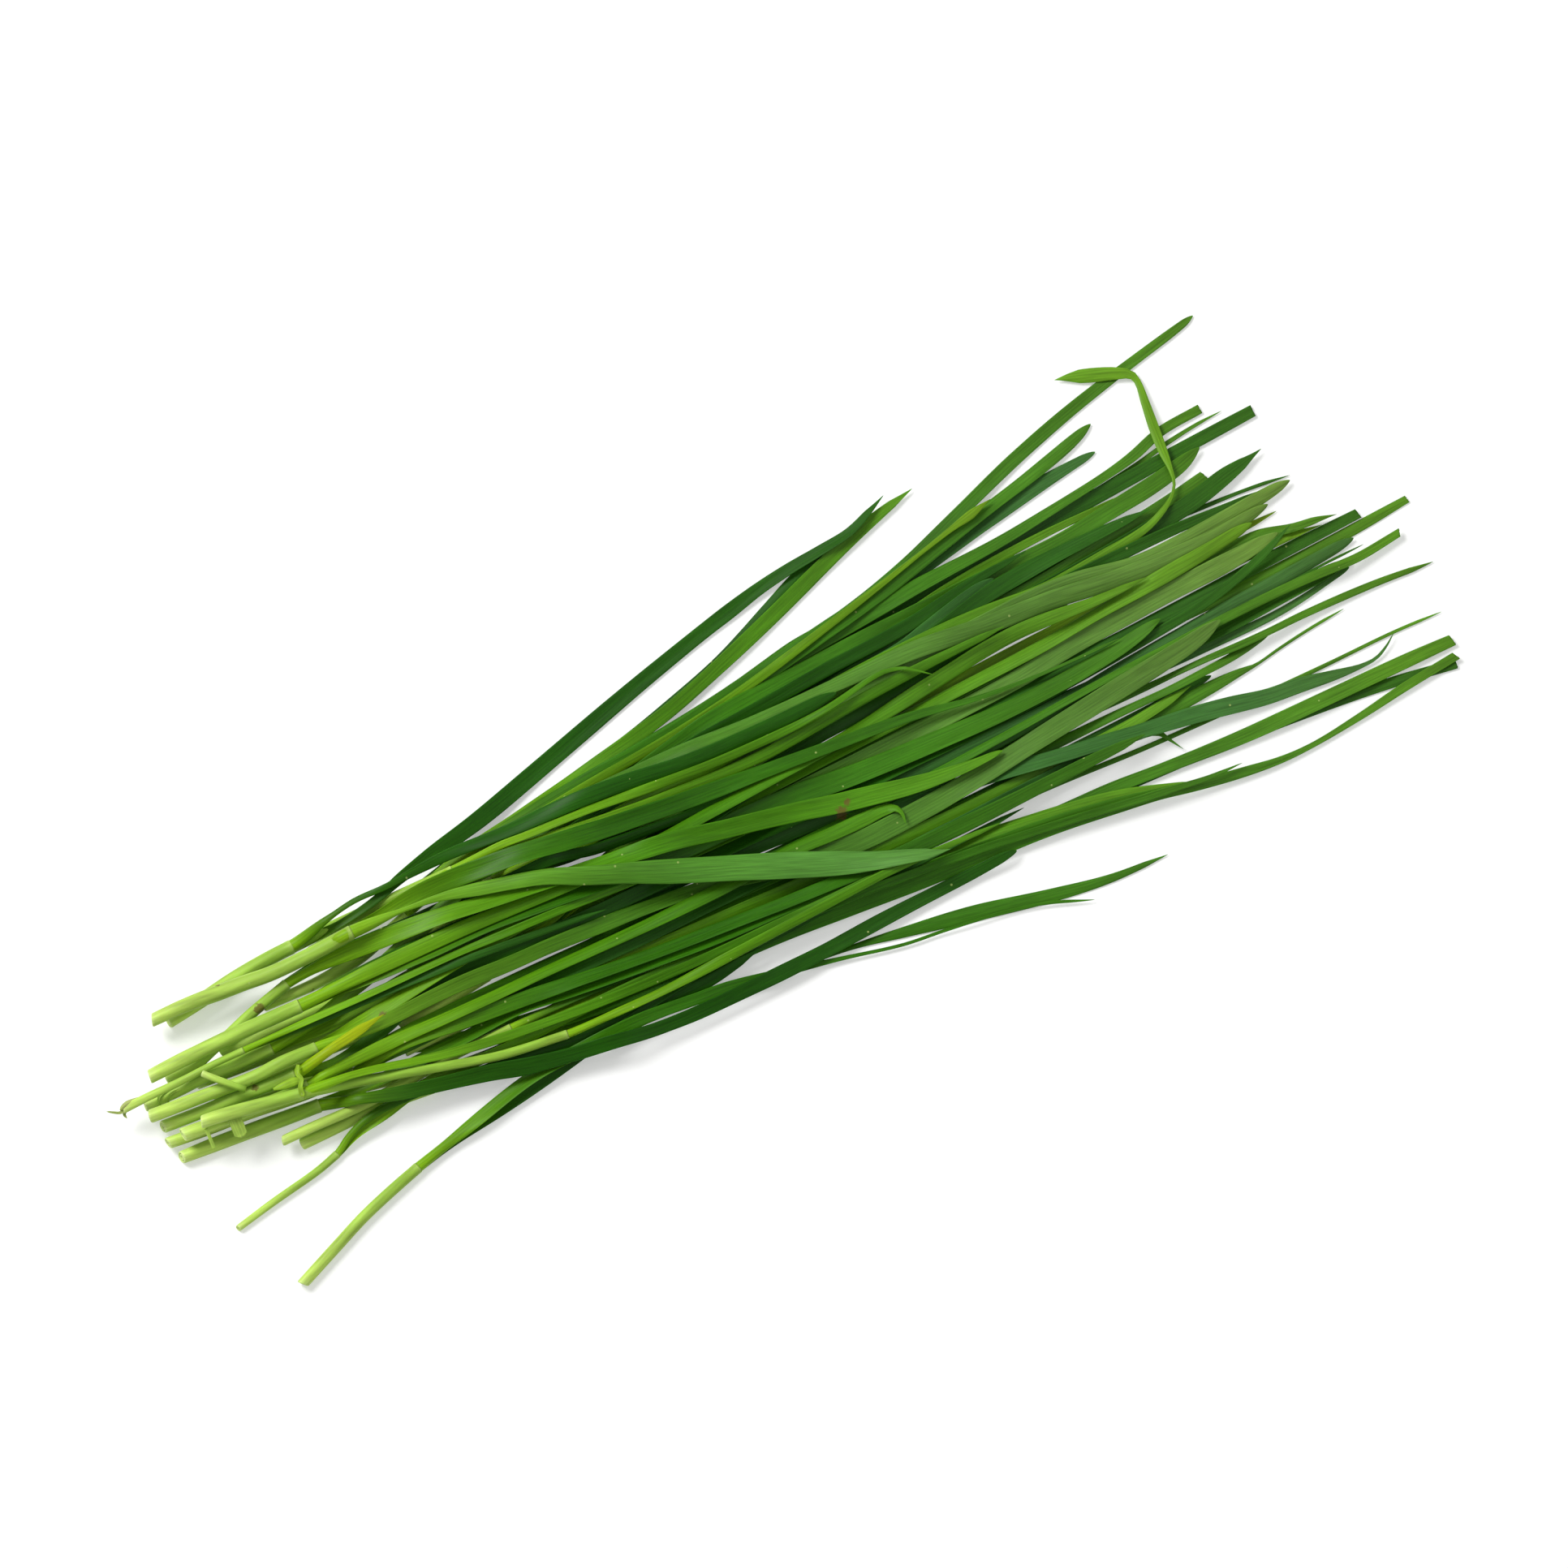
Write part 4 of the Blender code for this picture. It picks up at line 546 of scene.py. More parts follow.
# How it rolls, opens, narrows and widens along its length.
ROLL_WAVE = math.radians(5)
ROLL_LENGTH = 75.0
FLAT_AFTER = 34.0
FLATTEST = 0.02
NARROW_AFTER = 16.0
WIDENED = 1.07
WIDTH_WAVE = 0.03
WIDTH_WAVE_LENGTH = 34.0
BURIED_SPREAD = 0.22
SPREAD_UP_TO = 105.0
SPREAD_FADE = 45.0
WRAP = math.radians(80)
WRAP_SHARE = 0.94
INNER_SHARE = 0.7

# How it ends: rounded, tapered, or cut a little askew and ragged.
TIP_WIDTHS = 2.6
TIP_LENGTH = 7.0
TIP_FULLNESS = 0.6
TIP_RINGS = np.array([1.0, 0.75, 0.55, 0.4, 0.28, 0.18, 0.1, 0.04, 0.012, 0.0])
CUT_RINGS = np.array([2.0, 1.0, 0.5, 0.0])
ROUND_POINT = 0.03
TAPER_POINT = 0.04
CUT_AFTER = 3.0
CUT_SKEW = 0.5
CUT_RAGGED = 0.12
CUT_TEETH = 9
TIP_ROOM = 0.5

# How much its green differs from its finish: the whole leaf, and along it.
SHADE_EACH = 0.10
SHADE_ALONG = 0.10
SHADE_LENGTH = 60.0


def leaf_surface(seed, curve, at, z, bank, tip, finish, stem_radius, shift, wraps, spread):
    """A strap leaf as a grid of rings. Across it runs v from -1 to 1. At the collar it is an arc of a circle
    round the stem, (radius sin(turn v), radius cos(turn v)). It narrows to the route's width within
    NARROW_AFTER, and opens within FLAT_AFTER to a shallow channel, a blend of |v| and v squared. The
    thickness falls to the rim as the root of 1 - v^4. The half width follows the route, by spread more below
    the pile, and closes at the tip as its kind says. wraps is 1 over the stem, -1 under it, 0 inside it.
    Gives (points, colour, strap) with strap = (v, distance, half width)."""
    total = lengths(curve)[-1]
    main = np.linspace(0, total, max(LEAST_RINGS, int(total / FINE_STEP)))
    end_width = curve[-1, 2]
    if tip == "round":
        closing = total - TIP_WIDTHS * end_width * TIP_RINGS
    elif tip == "cut":
        closing = total - CUT_RINGS
    else:
        closing = total - TIP_LENGTH * TIP_RINGS
    s = np.unique(np.round(np.concatenate([main[main < closing[0] - TIP_ROOM], closing]), 5))
    mid, width, side = frame_at(curve, s)
    z = eased_through(at, z, s)
    bank = eased_through(at, bank, s)
    from_tip = total - s
    held = 1 - eased_step((s - ROOT_DEPTH) / FLAT_AFTER)
    draw = np.random.default_rng(seed)
    half_width = width / 2 * (WIDENED + WIDTH_WAVE * soft_noise(seed + 7, s, WIDTH_WAVE_LENGTH))
    half_width *= 1 + spread * np.clip((SLIM_ABOVE - mid[:, 0]) / (SLIM_ABOVE - SLIM_BELOW), 0, 1)
    half_width *= 1 + spread * np.clip((SPREAD_UP_TO - mid[:, 0]) / SPREAD_FADE, 0, 1)
    if tip == "round":
        x = np.clip(from_tip / (TIP_WIDTHS * end_width), 0, 1)
        half_width = half_width * np.maximum(ROUND_POINT, (1 - (1 - x) ** 2) ** TIP_FULLNESS)
    elif tip == "taper":
        x = np.clip(from_tip / TIP_LENGTH, 0, 1)
        half_width = half_width * np.maximum(TAPER_POINT, x**TIP_FULLNESS)
    wrapped = WRAP_SHARE * stem_radius * WRAP if wraps else INNER_SHARE * stem_radius
    full = 1 - eased_step((s - ROOT_DEPTH) / NARROW_AFTER)
    half_width = half_width * (1 - full) + wrapped * full
    v_top = np.cos(np.linspace(0, math.pi, LEAF_TOP))
    v_under = -np.cos(np.linspace(0, math.pi, LEAF_UNDER))[1:-1]
    v = np.concatenate([v_top, v_under])
    upper = np.concatenate([np.ones(LEAF_TOP), -np.ones(LEAF_UNDER - 2)])
    turn_up = 1.0 if draw.random() < CHANNEL_UP_SHARE else -1.0
    depth = CHANNEL * draw.uniform(*CHANNEL_RANGE) * turn_up * 2 * half_width
    crease = KEEL * np.sqrt(v * v + KEEL_ROUNDING) + (1 - KEEL) * v * v
    channel = depth[:, None] * (crease - CHANNEL_MIDDLE)[None]
    turn = np.maximum(FLATTEST, (WRAP if wraps else 0.5 * WRAP) * held)[:, None]
    round_radius = half_width[:, None] / turn
    arc = round_radius * (np.cos(turn * v) - 1) * (wraps or 1)
    crown = (WRAP_SHARE * stem_radius - LEAF_BODY / 2) * wraps - shift if wraps else 0.0
    across = round_radius * np.sin(turn * v)
    thin = np.clip(half_width / THIN_BELOW, THINNEST, 1)
    body = LEAF_RIM + (LEAF_BODY - LEAF_RIM) * np.sqrt(np.clip(1 - v**4, 0, 1))
    rise = held[:, None] * (arc + crown) + (1 - held)[:, None] * channel
    u = rise + 0.5 * upper[None] * body[None] * thin[:, None]
    rolled = bank + ROLL_WAVE * soft_noise(seed + 3, s, ROLL_LENGTH) * (1 - held)
    c, n = np.cos(rolled)[:, None], np.sin(rolled)[:, None]
    level = across * c - u * n
    height = across * n + u * c
    slant = np.zeros_like(level)
    if tip == "cut":
        edge = draw.uniform(-CUT_SKEW, CUT_SKEW) * across + (CUT_RAGGED * np.sin(v * CUT_TEETH + seed))[None]
        slant = np.clip(1 - from_tip / CUT_AFTER, 0, 1)[:, None] * edge
    ahead = np.stack([side[:, 1], -side[:, 0]], 1)
    xy = mid[:, None] + level[..., None] * side[:, None] + slant[..., None] * ahead[:, None]
    points = np.concatenate([xy, (z[:, None] + height)[..., None]], 2)
    green = np.array(LEAF_GREENS[finish]) * (1 + SHADE_EACH * draw.uniform(-1, 1))
    foot = np.exp(-np.clip(s - ROOT_DEPTH, 0, None) / LEAF_FOOT_LENGTH[finish])[:, None]
    # The finish's green is darker about the middle of the bunch, partly painted shade of the pile there.
    there = np.stack([np.interp(mid[:, 0], PLACES, row) for row in (RED_THERE, GREEN_THERE, BLUE_THERE)], 1)
    colour = green[None] * there * (1 - foot) + np.array(LEAF_FOOT)[None] * foot
    colour[:, 2] += TIP_BLUE * np.clip(mid[:, 0] / TIP_BLUE_FULL_AT, 0, 1)
    colour = colour * (1 + SHADE_ALONG * soft_noise(seed + 11, s, SHADE_LENGTH))[:, None]
    colour = np.repeat(colour[:, None], len(v), 1)
    strap = np.stack(np.broadcast_arrays(v[None], s[:, None], half_width[:, None]), 2)
    return points, colour, strap


# A stem's rings: as (share of the radius, distance) the steps between its layers of sheath at the cut end, and
# its hidden end, and as distances those at a collar.
STEM_ROUND = 20
LEAST_STEM_RINGS = 6
CUT_LAYERS = ((0.05, 0.5), (0.30, 0.35), (0.34, 0.05), (0.52, 0.12), (0.56, 0.45), (0.68, 0.40), (0.72, 0.08),
              (0.84, 0.0), (0.93, 0.10), (0.98, 0.28), (1.0, 0.52))
CUT_SLANT = 0.35
COLLAR_RINGS = np.array([-3.0, -1.8, -0.9, -0.4, 0.0, 0.2, 0.8, 2.0])
END_LAYERS = ((0.97, 0.0), (0.90, -0.5), (0.5, -1.0), (0.05, -1.2))
END_MARGIN = 0.6
END_ROOM = 0.5
SLANT_LENGTH = 2.0

# How its radius varies along it, round it and at a collar.
STEM_WAVE = 0.012
STEM_WAVE_LENGTH = 18.0
STEM_RIDGE = 0.010
STEM_RIDGES = 5
COLLAR_SWELL = 0.03
COLLAR_SWELL_BEFORE = 0.4
COLLAR_SWELL_LENGTH = 0.8
COLLAR_STEP = 0.06
COLLAR_STEP_AFTER = 0.1
COLLAR_STEP_LENGTH = 9.0

# Its colours: palest at the cut, greener towards the first collar, and pale at each collar's rim.
STEM_FOOT = (0.430, 0.590, 0.110)
STEM_HEAD = (0.250, 0.440, 0.045)
STEM_GREENING = 0.8
CUT_TONE = (0.560, 0.680, 0.260)
CUT_TONE_LENGTH = 0.5
RIM_TONE = (0.500, 0.640, 0.200)
RIM_SHARE = 0.40
RIM_LENGTH = 0.9
RIM_EDGE = 0.05


def stem_surface(seed, curve, z, collars):
    """A rolled stem as a grid of rings: circles whose radius follows the route. At the cut end, a slanted
    plane, the rings step in and out between the layers of sheath. At each collar the radius swells by a bell
    curve and then drops by a step, where the next sheath comes out. Gives (points, colour, strap) with
    strap = (turn, distance, radius)."""
    total = lengths(curve)[-1]
    rings = [np.linspace(END_MARGIN, total, max(LEAST_STEM_RINGS, int(total / FINE_STEP)))]
    rings += [collar + COLLAR_RINGS for collar in collars]
    main = np.unique(np.round(np.concatenate(rings), 4))
    main = main[(main > END_ROOM) & (main <= total)]
    share = 1 + STEM_WAVE * soft_noise(seed + 5, main, STEM_WAVE_LENGTH)
    for collar in collars:
        past = np.clip(main - collar, 0, None)
        from_swell = main - collar + COLLAR_SWELL_BEFORE
        share += COLLAR_SWELL * np.exp(-((from_swell / COLLAR_SWELL_LENGTH) ** 2))
        step = COLLAR_STEP * np.exp(-past / COLLAR_STEP_LENGTH)
        share -= np.where(main > collar + COLLAR_STEP_AFTER, step, 0.0)
    s = np.concatenate([[depth for _, depth in CUT_LAYERS], main, [total + ahead for _, ahead in END_LAYERS]])
    share = np.concatenate([[r for r, _ in CUT_LAYERS], share, [r for r, _ in END_LAYERS]])
    inside = np.clip(s, 0, total)
    mid, width, side = frame_at(curve, inside)
    turn = np.arange(STEM_ROUND) * 2 * math.pi / STEM_ROUND
    radius = width / 2 * share
    flat = radius[:, None] * (1 + STEM_RIDGE * np.sin(turn * STEM_RIDGES + seed))[None]
    ahead = np.stack([side[:, 1], -side[:, 0]], 1)
    level, rise = np.random.default_rng(seed).uniform(-CUT_SLANT, CUT_SLANT, 2)
    slant = flat * (level * np.cos(turn) + rise * np.sin(turn))[None]
    slant = slant * np.exp(-inside / SLANT_LENGTH)[:, None]
    xy = mid[:, None] + (flat * np.cos(turn))[..., None] * side[:, None] + slant[..., None] * ahead[:, None]
    points = np.concatenate([xy, (z(inside)[:, None] + flat * np.sin(turn))[..., None]], 2)
    first = collars[0] if collars else total
    far = np.clip(inside / first, 0, 1)[:, None] ** STEM_GREENING
    colour = np.array(STEM_FOOT) * (1 - far) + np.array(STEM_HEAD) * far
    for collar in collars:
        rim = (np.exp(-np.clip(collar - s, 0, None) / RIM_LENGTH) * (s <= collar + RIM_EDGE))[:, None]
        colour = colour * (1 - RIM_SHARE * rim) + RIM_SHARE * rim * np.array(RIM_TONE)
    cut = np.exp(-inside / CUT_TONE_LENGTH)[:, None]
    colour = colour * (1 - cut) + np.array(CUT_TONE) * cut
    colour = np.repeat(colour[:, None], STEM_ROUND, 1)
    strap = np.stack(np.broadcast_arrays((turn / math.pi - 1)[None], s[:, None], radius[:, None]), 2)
    return points, colour, strap


# The middle of the bunch in the routes' millimetres, which is where the meshes have their origin.
MIDDLE = np.array([-6.811939, -1.376569, 0.0])

# Withered brown marks on the skin: where they are (x, y), in millimetres, and how far they reach, in metres.
BROWN_MARKS = [(-170.2, -9.8, 0.0012), (-166.0, 21.2, 0.0008), (-158.5, 10.0, 0.0020), (-143.0, 8.2, 0.0010),
               (-129.7, -7.9, 0.0013), (9.5, -15.9, 0.0019), (12.2, -14.6, 0.0012)]
BROWN = (0.130, 0.085, 0.020, 1)
MARK_NOISE = 1.9
MARK_EDGE = 2.2
MARK_MOST = 0.8

# Pale flecks, clouding, veins and shine. In a pair, noise is multiplied by the first and the second is added.
NOISE_DETAIL = 3.0
PALE_FLECK = (0.42, 0.52, 0.16, 1)
FLECK_SCALE = 140.0
FLECK_SIZE = 0.045
FLECK_MOST = 0.5
SPECKLE_SCALE = 900.0
CLOUD_SCALE = 55.0
CLOUD_LIGHT = (0.5, 0.75)
VEIN_SCALE = 2.4
VEIN_STRETCH = 0.03
VEIN_LIGHT = (1.2, 0.40)
VEIN_ROUGHNESS = (0.25, 0.28)
VEIN_BUMP = 0.35
VEIN_DEPTH = 0.00012
SKIN_SHINE = 0.11
SKIN_GLOW = 0.12
SKIN_GLOW_RADIUS = (0.4, 1.0, 0.15)
SKIN_GLOW_DEPTH = 0.0012


def skin_material():
    """Leaf and stem skin: the mesh's colour, with fine parallel veins, clouding, pale flecks and marks.
    Veins are noise over (distance across, VEIN_STRETCH times distance along). A mark fades out where the
    distance from its place passes a noisy reach."""
    material = bpy.data.materials.new("chive_skin")
    material.use_nodes = True
    nodes, links = material.node_tree.nodes, material.node_tree.links
    shader = nodes["Principled BSDF"]

    def feed(socket, value):
        """Links another node's result to the socket, or sets it to a number."""
        if isinstance(value, bpy.types.NodeSocket):
            links.new(value, socket)
        else:
            socket.default_value = value

    def node(kind, operation=None, **inputs):
        """A new shader node, its named inputs fed."""
        made = nodes.new("ShaderNode" + kind)
        if operation:
            made.operation = operation
        for name, value in inputs.items():
            feed(made.inputs[name], value)
        return made

    def maths(kind, *values):
        """The result of a sum, product, limit or comparison of the values."""
        made = node("Math", kind)
        for socket, value in zip(made.inputs, values):
            feed(socket, value)
        return made.outputs[0]

    def blend(factor, under, tone):
        """The colour under, and the tone where the factor is 1."""
        made = node("Mix")
        made.data_type = "RGBA"
        made.inputs["B"].default_value = tone
        links.new(factor, made.inputs["Factor"])
        links.new(under, made.inputs["A"])
        return made.outputs["Result"]

    tint, strap = nodes.new("ShaderNodeAttribute"), nodes.new("ShaderNodeAttribute")
    tint.attribute_name, strap.attribute_name = "tint", "strap"
    parts = node("SeparateXYZ", Vector=strap.outputs["Vector"]).outputs
    place = node("CombineXYZ", X=maths("MULTIPLY", parts[0], parts[2]),
                 Y=maths("MULTIPLY", parts[1], VEIN_STRETCH))
    on_piece = nodes.new("ShaderNodeTexCoord").outputs["Object"]
    vein = node("TexNoise", Vector=place.outputs[0], Scale=VEIN_SCALE, Detail=NOISE_DETAIL).outputs["Fac"]
    cloud = node("TexNoise", Vector=on_piece, Scale=CLOUD_SCALE, Detail=NOISE_DETAIL).outputs["Fac"]
    speckle = node("TexNoise", Vector=on_piece, Scale=SPECKLE_SCALE, Detail=NOISE_DETAIL).outputs["Fac"]
    fleck = node("TexVoronoi", Vector=on_piece, Scale=FLECK_SCALE).outputs["Distance"]
    clouded = maths("MULTIPLY_ADD", cloud, *CLOUD_LIGHT)
    light = maths("MULTIPLY", maths("MULTIPLY_ADD", vein, *VEIN_LIGHT), clouded)
    skin = node("VectorMath", "SCALE", Scale=light)
    links.new(tint.outputs["Color"], skin.inputs[0])
    level = node("VectorMath", "MULTIPLY")
    links.new(on_piece, level.inputs[0])
    level.inputs[1].default_value = (1, 1, 0)
    marked = 0.0
    for x, y, reach in BROWN_MARKS:
        away = node("VectorMath", "DISTANCE")
        links.new(level.outputs[0], away.inputs[0])
        away.inputs[1].default_value = ((x - MIDDLE[0]) / 1000, (y - MIDDLE[1]) / 1000, 0)
        short = maths("MULTIPLY", away.outputs["Value"], -1.0)
        near = maths("MULTIPLY", maths("MULTIPLY_ADD", speckle, MARK_NOISE * reach, short), MARK_EDGE / reach)
        near = maths("MINIMUM", maths("MAXIMUM", near, 0.0), MARK_MOST)
        marked = maths("MAXIMUM", near, marked)
    browned = blend(marked, skin.outputs[0], BROWN)
    on_fleck = maths("MULTIPLY", maths("LESS_THAN", fleck, FLECK_SIZE), FLECK_MOST)
    flecked = blend(on_fleck, browned, PALE_FLECK)
    links.new(flecked, shader.inputs["Base Color"])
    links.new(maths("MULTIPLY_ADD", vein, *VEIN_ROUGHNESS), shader.inputs["Roughness"])
    bump = node("Bump", Strength=VEIN_BUMP, Distance=VEIN_DEPTH, Height=vein)
    links.new(bump.outputs["Normal"], shader.inputs["Normal"])
    shader.inputs["Specular IOR Level"].default_value = SKIN_SHINE
    shader.inputs["Subsurface Weight"].default_value = SKIN_GLOW
    shader.inputs["Subsurface Radius"].default_value = SKIN_GLOW_RADIUS
    shader.inputs["Subsurface Scale"].default_value = SKIN_GLOW_DEPTH
    return material


chive_skin = skin_material()


def sewn(name, surfaces):
    """One mesh of closed tubes: each surface is a grid of rings, joined in quads and closed by two faces.
    The corner numbers come from the row and the column, row times columns plus column."""
    corners, faces, tints, straps, first = [], [], [], [], 0
    for points, colour, strap in surfaces:
        rows, columns = points.shape[:2]
        row = np.arange(rows - 1)[:, None] * columns
        column = np.arange(columns)[None]
        after = (column + 1) % columns
        quads = np.stack([row + column, row + columns + column, row + columns + after, row + after], 2)
        faces += (quads.reshape(-1, 4) + first).tolist()
        faces.append((np.arange(columns) + first).tolist())
        faces.append((np.arange(columns)[::-1] + first + (rows - 1) * columns).tolist())
        corners.append(points.reshape(-1, 3))
        tints.append(colour.reshape(-1, 3))
        straps.append(strap.reshape(-1, 3))
        first += rows * columns
    places = (np.concatenate(corners) - MIDDLE) / 1000
    mesh = bpy.data.meshes.new(name)
    mesh.from_pydata(places.tolist(), [], faces)
    mesh.polygons.foreach_set("use_smooth", np.ones(len(faces), bool))
    tint = mesh.attributes.new("tint", "FLOAT_COLOR", "POINT")
    rgba = np.concatenate([np.concatenate(tints), np.ones((first, 1))], 1)
    tint.data.foreach_set("color", rgba.astype(np.float32).ravel())
    strap = mesh.attributes.new("strap", "FLOAT_VECTOR", "POINT")
    strap.data.foreach_set("vector", np.concatenate(straps).astype(np.float32).ravel())
    mesh.materials.append(chive_skin)
    mesh.update()
    piece = bpy.data.objects.new(name, mesh)
    bpy.context.scene.collection.objects.link(piece)
    return piece


STEM_STEP = 12.0
STEM_ROUNDS = 6
BARE_AHEAD = 0.01
FREE_AFTER = 12.0
DRAWN_ROUNDS = 3
SEEDS_A_SHOOT = 100
SEEDS_A_LEAF = 13
BARE_STALK_SEED = 9900


def settled_stem(before, points, ahead_by):
    """A stem at rest on the pile: (curve, centres, sideways directions, rings, heights, distances)."""
    stem = spline(points)
    heading = stem[-1, :2] - stem[-4, :2]
    ahead = stem[-1, :2] + heading / np.linalg.norm(heading) * ahead_by
    longer = np.vstack([stem, [ahead[0], ahead[1], stem[-1, 2]]])
    at = stations_of(stem, STEM_STEP)
    kept = len(at)
    centre, width, side = frame_at(longer, np.append(at, lengths(longer)[-1]))
    rings = stem_sections(width)
    z = settle(needs_of(before, centre, side, rings, range(len(centre) - 1)), len(centre), STEM_ROUNDS)
    return stem, centre[:kept], side[:kept], rings[:kept], z[:kept], at


def lay_stem(name, stem_points, leaves, slim=False):
    """Lays a shoot's stem on the pile, as low as what lies there allows, and gives what its leaves need."""
    before = widened()
    points = stem_points
    for _ in range(DRAWN_ROUNDS):
        stem, centre, side, rings, z, at = settled_stem(before, points, FREE_AFTER if leaves else BARE_AHEAD)
        points = drawn_back(stem_points, np.interp(lengths(stem)[::PER_SPAN], at, z))
    lay_on(centre, side, rings, z)
    seed = int(name[-2:]) * SEEDS_A_SHOOT if name[-2:].isdigit() else BARE_STALK_SEED
    along = lengths(stem)
    collars = sorted({along[leaf[1] * PER_SPAN] for leaf in leaves})
    tube = stem_surface(seed, stem, lambda d: eased_through(at, z, d), collars)
    return {"name": name, "stem": stem, "at": at, "z": z, "before": before, "seed": seed, "leaves": leaves,
            "slim": slim, "surfaces": [tube]}


ROOT_SHARE = 0.5
MOUTH_SHARE = 0.58
LEAF_PITCH = 1.1
LEAST_WIDTH = 0.8
ROUND_TIP = 0.95
TIP_LEAST = 0.34
TIP_STATIONS = (0.9, 0.3)
STATION_STEP = 15.0
LEAF_ROUNDS = 7
ROUNDING = 1e-3
SLIM = 0.8


def settled_leaf(shoot, number, now, route):
    """A leaf at rest on the pile: its curve, its section's parts, heights and distances, and its place."""
    tip, root = shoot["leaves"][number][:2]
    stem = shoot["stem"]
    along = lengths(stem)
    same = [k for k, other in enumerate(shoot["leaves"]) if other[1] == root]
    end = along[root * PER_SPAN]
    inside = np.array([np.interp(end - ROOT_DEPTH, along, stem[:, i]) for i in range(3)])
    mouth = np.array([np.interp(end, along, stem[:, i]) for i in range(3)])
    stem_width = mouth[2]
    inside[2] *= ROOT_SHARE
    mouth[2] *= MOUTH_SHARE
    curve = spline([inside, mouth] + list(route))
    if shoot["slim"]:
        buried = np.clip((SLIM_ABOVE - curve[:, 0]) / (SLIM_ABOVE - SLIM_BELOW), 0, 1)
        curve[:, 2] *= 1 - (1 - SLIM) * buried
    total = lengths(curve)[-1]
    end_width = curve[-1, 2]
    extra = [ROOT_DEPTH, ROOT_DEPTH + FREE_AFTER]
    if tip == "round":
        extra += [total - part * end_width for part in TIP_STATIONS]
    far = stations_of(curve, STATION_STEP, extra)
    mid, width, across = frame_at(curve, far)
    if tip == "round":
        left = np.clip((total - far) / (ROUND_TIP * end_width), 0, 1)
        width = width * np.maximum(TIP_LEAST, np.sqrt(1 - (1 - left) ** 2))
    free_share = np.clip((far - ROOT_DEPTH) / (2 * FREE_AFTER), 0, 1)
    width = np.maximum(width, LEAST_WIDTH)
    bank = free_share * lean_of(now, mid, width, across)
    section = blade_sections(width, bank)
    level = np.interp([end - ROOT_DEPTH, end], shoot["at"], shoot["z"])
    pitch = min(LEAF_PITCH, (stem_width - LEAF_PITCH) / max(1, len(same) - 1))
    order = same.index(number)
    shift = (order - (len(same) - 1) / 2) * pitch
    fixed = int(np.sum(far <= ROOT_DEPTH + ROUNDING)) - 1
    free = int(np.sum(far <= ROOT_DEPTH + FREE_AFTER + ROUNDING)) - 1
    near = needs_of(shoot["before"], mid, across, section, range(fixed, free))
    away = needs_of(now, mid, across, section, range(free, len(mid) - 1))
    start = np.interp(far[: fixed + 1], [0, ROOT_DEPTH], level) + shift
    z = settle(near + away, len(mid), LEAF_ROUNDS, start, fixed)
    wraps = 1 if order == len(same) - 1 else -1 if order == 0 else 0
    return curve, mid, across, section, z, far, fixed, bank, stem_width / 2, shift, wraps


def lay_leaf(shoot, number):
    """Lays one leaf of a shoot, from inside its stem to its tip, on what the pile holds by then."""
    tip, _, finish, seen = shoot["leaves"][number]
    route = seen
    now = widened()
    for _ in range(DRAWN_ROUNDS):
        curve, mid, across, section, z, far, fixed, bank, *place = settled_leaf(shoot, number, now, route)
        route = drawn_back(seen, np.interp(lengths(curve)[2 * PER_SPAN :: PER_SPAN], far, z))
    lay_on(mid, across, section, z, fixed)
    seed = shoot["seed"] + SEEDS_A_LEAF * number + 1
    spread = BURIED_SPREAD if shoot["slim"] else 0.0
    shoot["surfaces"].append(leaf_surface(seed, curve, far, z, bank, tip, finish, *place, spread))


def lay_late_leaf(shoot, number):
    """Lays a leaf over the shoots that came after its own: even near its collar it has to clear them."""
    now = widened()
    shoot["before"] = np.where(now > shoot["after"], now, shoot["before"])
    lay_leaf(shoot, number)


SCRAP_BODY = 0.22
SCRAP_RIM = 0.04
SCRAP_SIDES = 7
SCRAP_RINGS_A_POINT = 5
SCRAP_POINT = 0.2
SCRAP_TIP = 0.8
SCRAP_SHADE = 0.12
SCRAP_SHADE_LENGTH = 4.0
SCRAP_SEED = 3


def scrap_surface(shoot, place, curl, tone, route):
    """A torn strip of sheath as a grid of rings. Its route is (x, y, height over the stem's axis at the
    distance called place, width), its section the parabola curl v^2, thinning to the rim as the root of
    1 - v^4. Gives (points, colour, strap) with strap = (v, distance, half width)."""
    rows = np.array(route, float)
    z = np.interp(place, shoot["at"], shoot["z"]) + rows[:, 2]
    curve = spline(drawn_back(rows[:, [0, 1, 3]], z))
    along = lengths(curve)
    s = np.linspace(0, along[-1], SCRAP_RINGS_A_POINT * len(rows))
    mid, width, side = frame_at(curve, s)
    half_width = width / 2 * np.clip(SCRAP_POINT + (along[-1] - s) / SCRAP_TIP, 0, 1)
    v_top = np.cos(np.linspace(0, math.pi, SCRAP_SIDES))
    v = np.concatenate([v_top, -v_top[1:-1]])
    upper = np.concatenate([np.ones(SCRAP_SIDES), -np.ones(SCRAP_SIDES - 2)])
    body = SCRAP_RIM + SCRAP_BODY * np.sqrt(np.clip(1 - v**4, 0, 1))
    level = half_width[:, None] * v[None]
    height = curl * half_width[:, None] * (v * v - 0.5)[None] + 0.5 * (upper * body)[None]
    xy = mid[:, None] + level[..., None] * side[:, None]
    points = np.concatenate([xy, (eased_through(along[::PER_SPAN], z, s)[:, None] + height)[..., None]], 2)
    shade = 1 + SCRAP_SHADE * soft_noise(SCRAP_SEED, s, SCRAP_SHADE_LENGTH)
    colour = np.repeat((np.array(tone) * shade[:, None])[:, None], len(v), 1)
    strap = np.stack(np.broadcast_arrays(v[None], s[:, None], half_width[:, None]), 2)
    return points, colour, strap


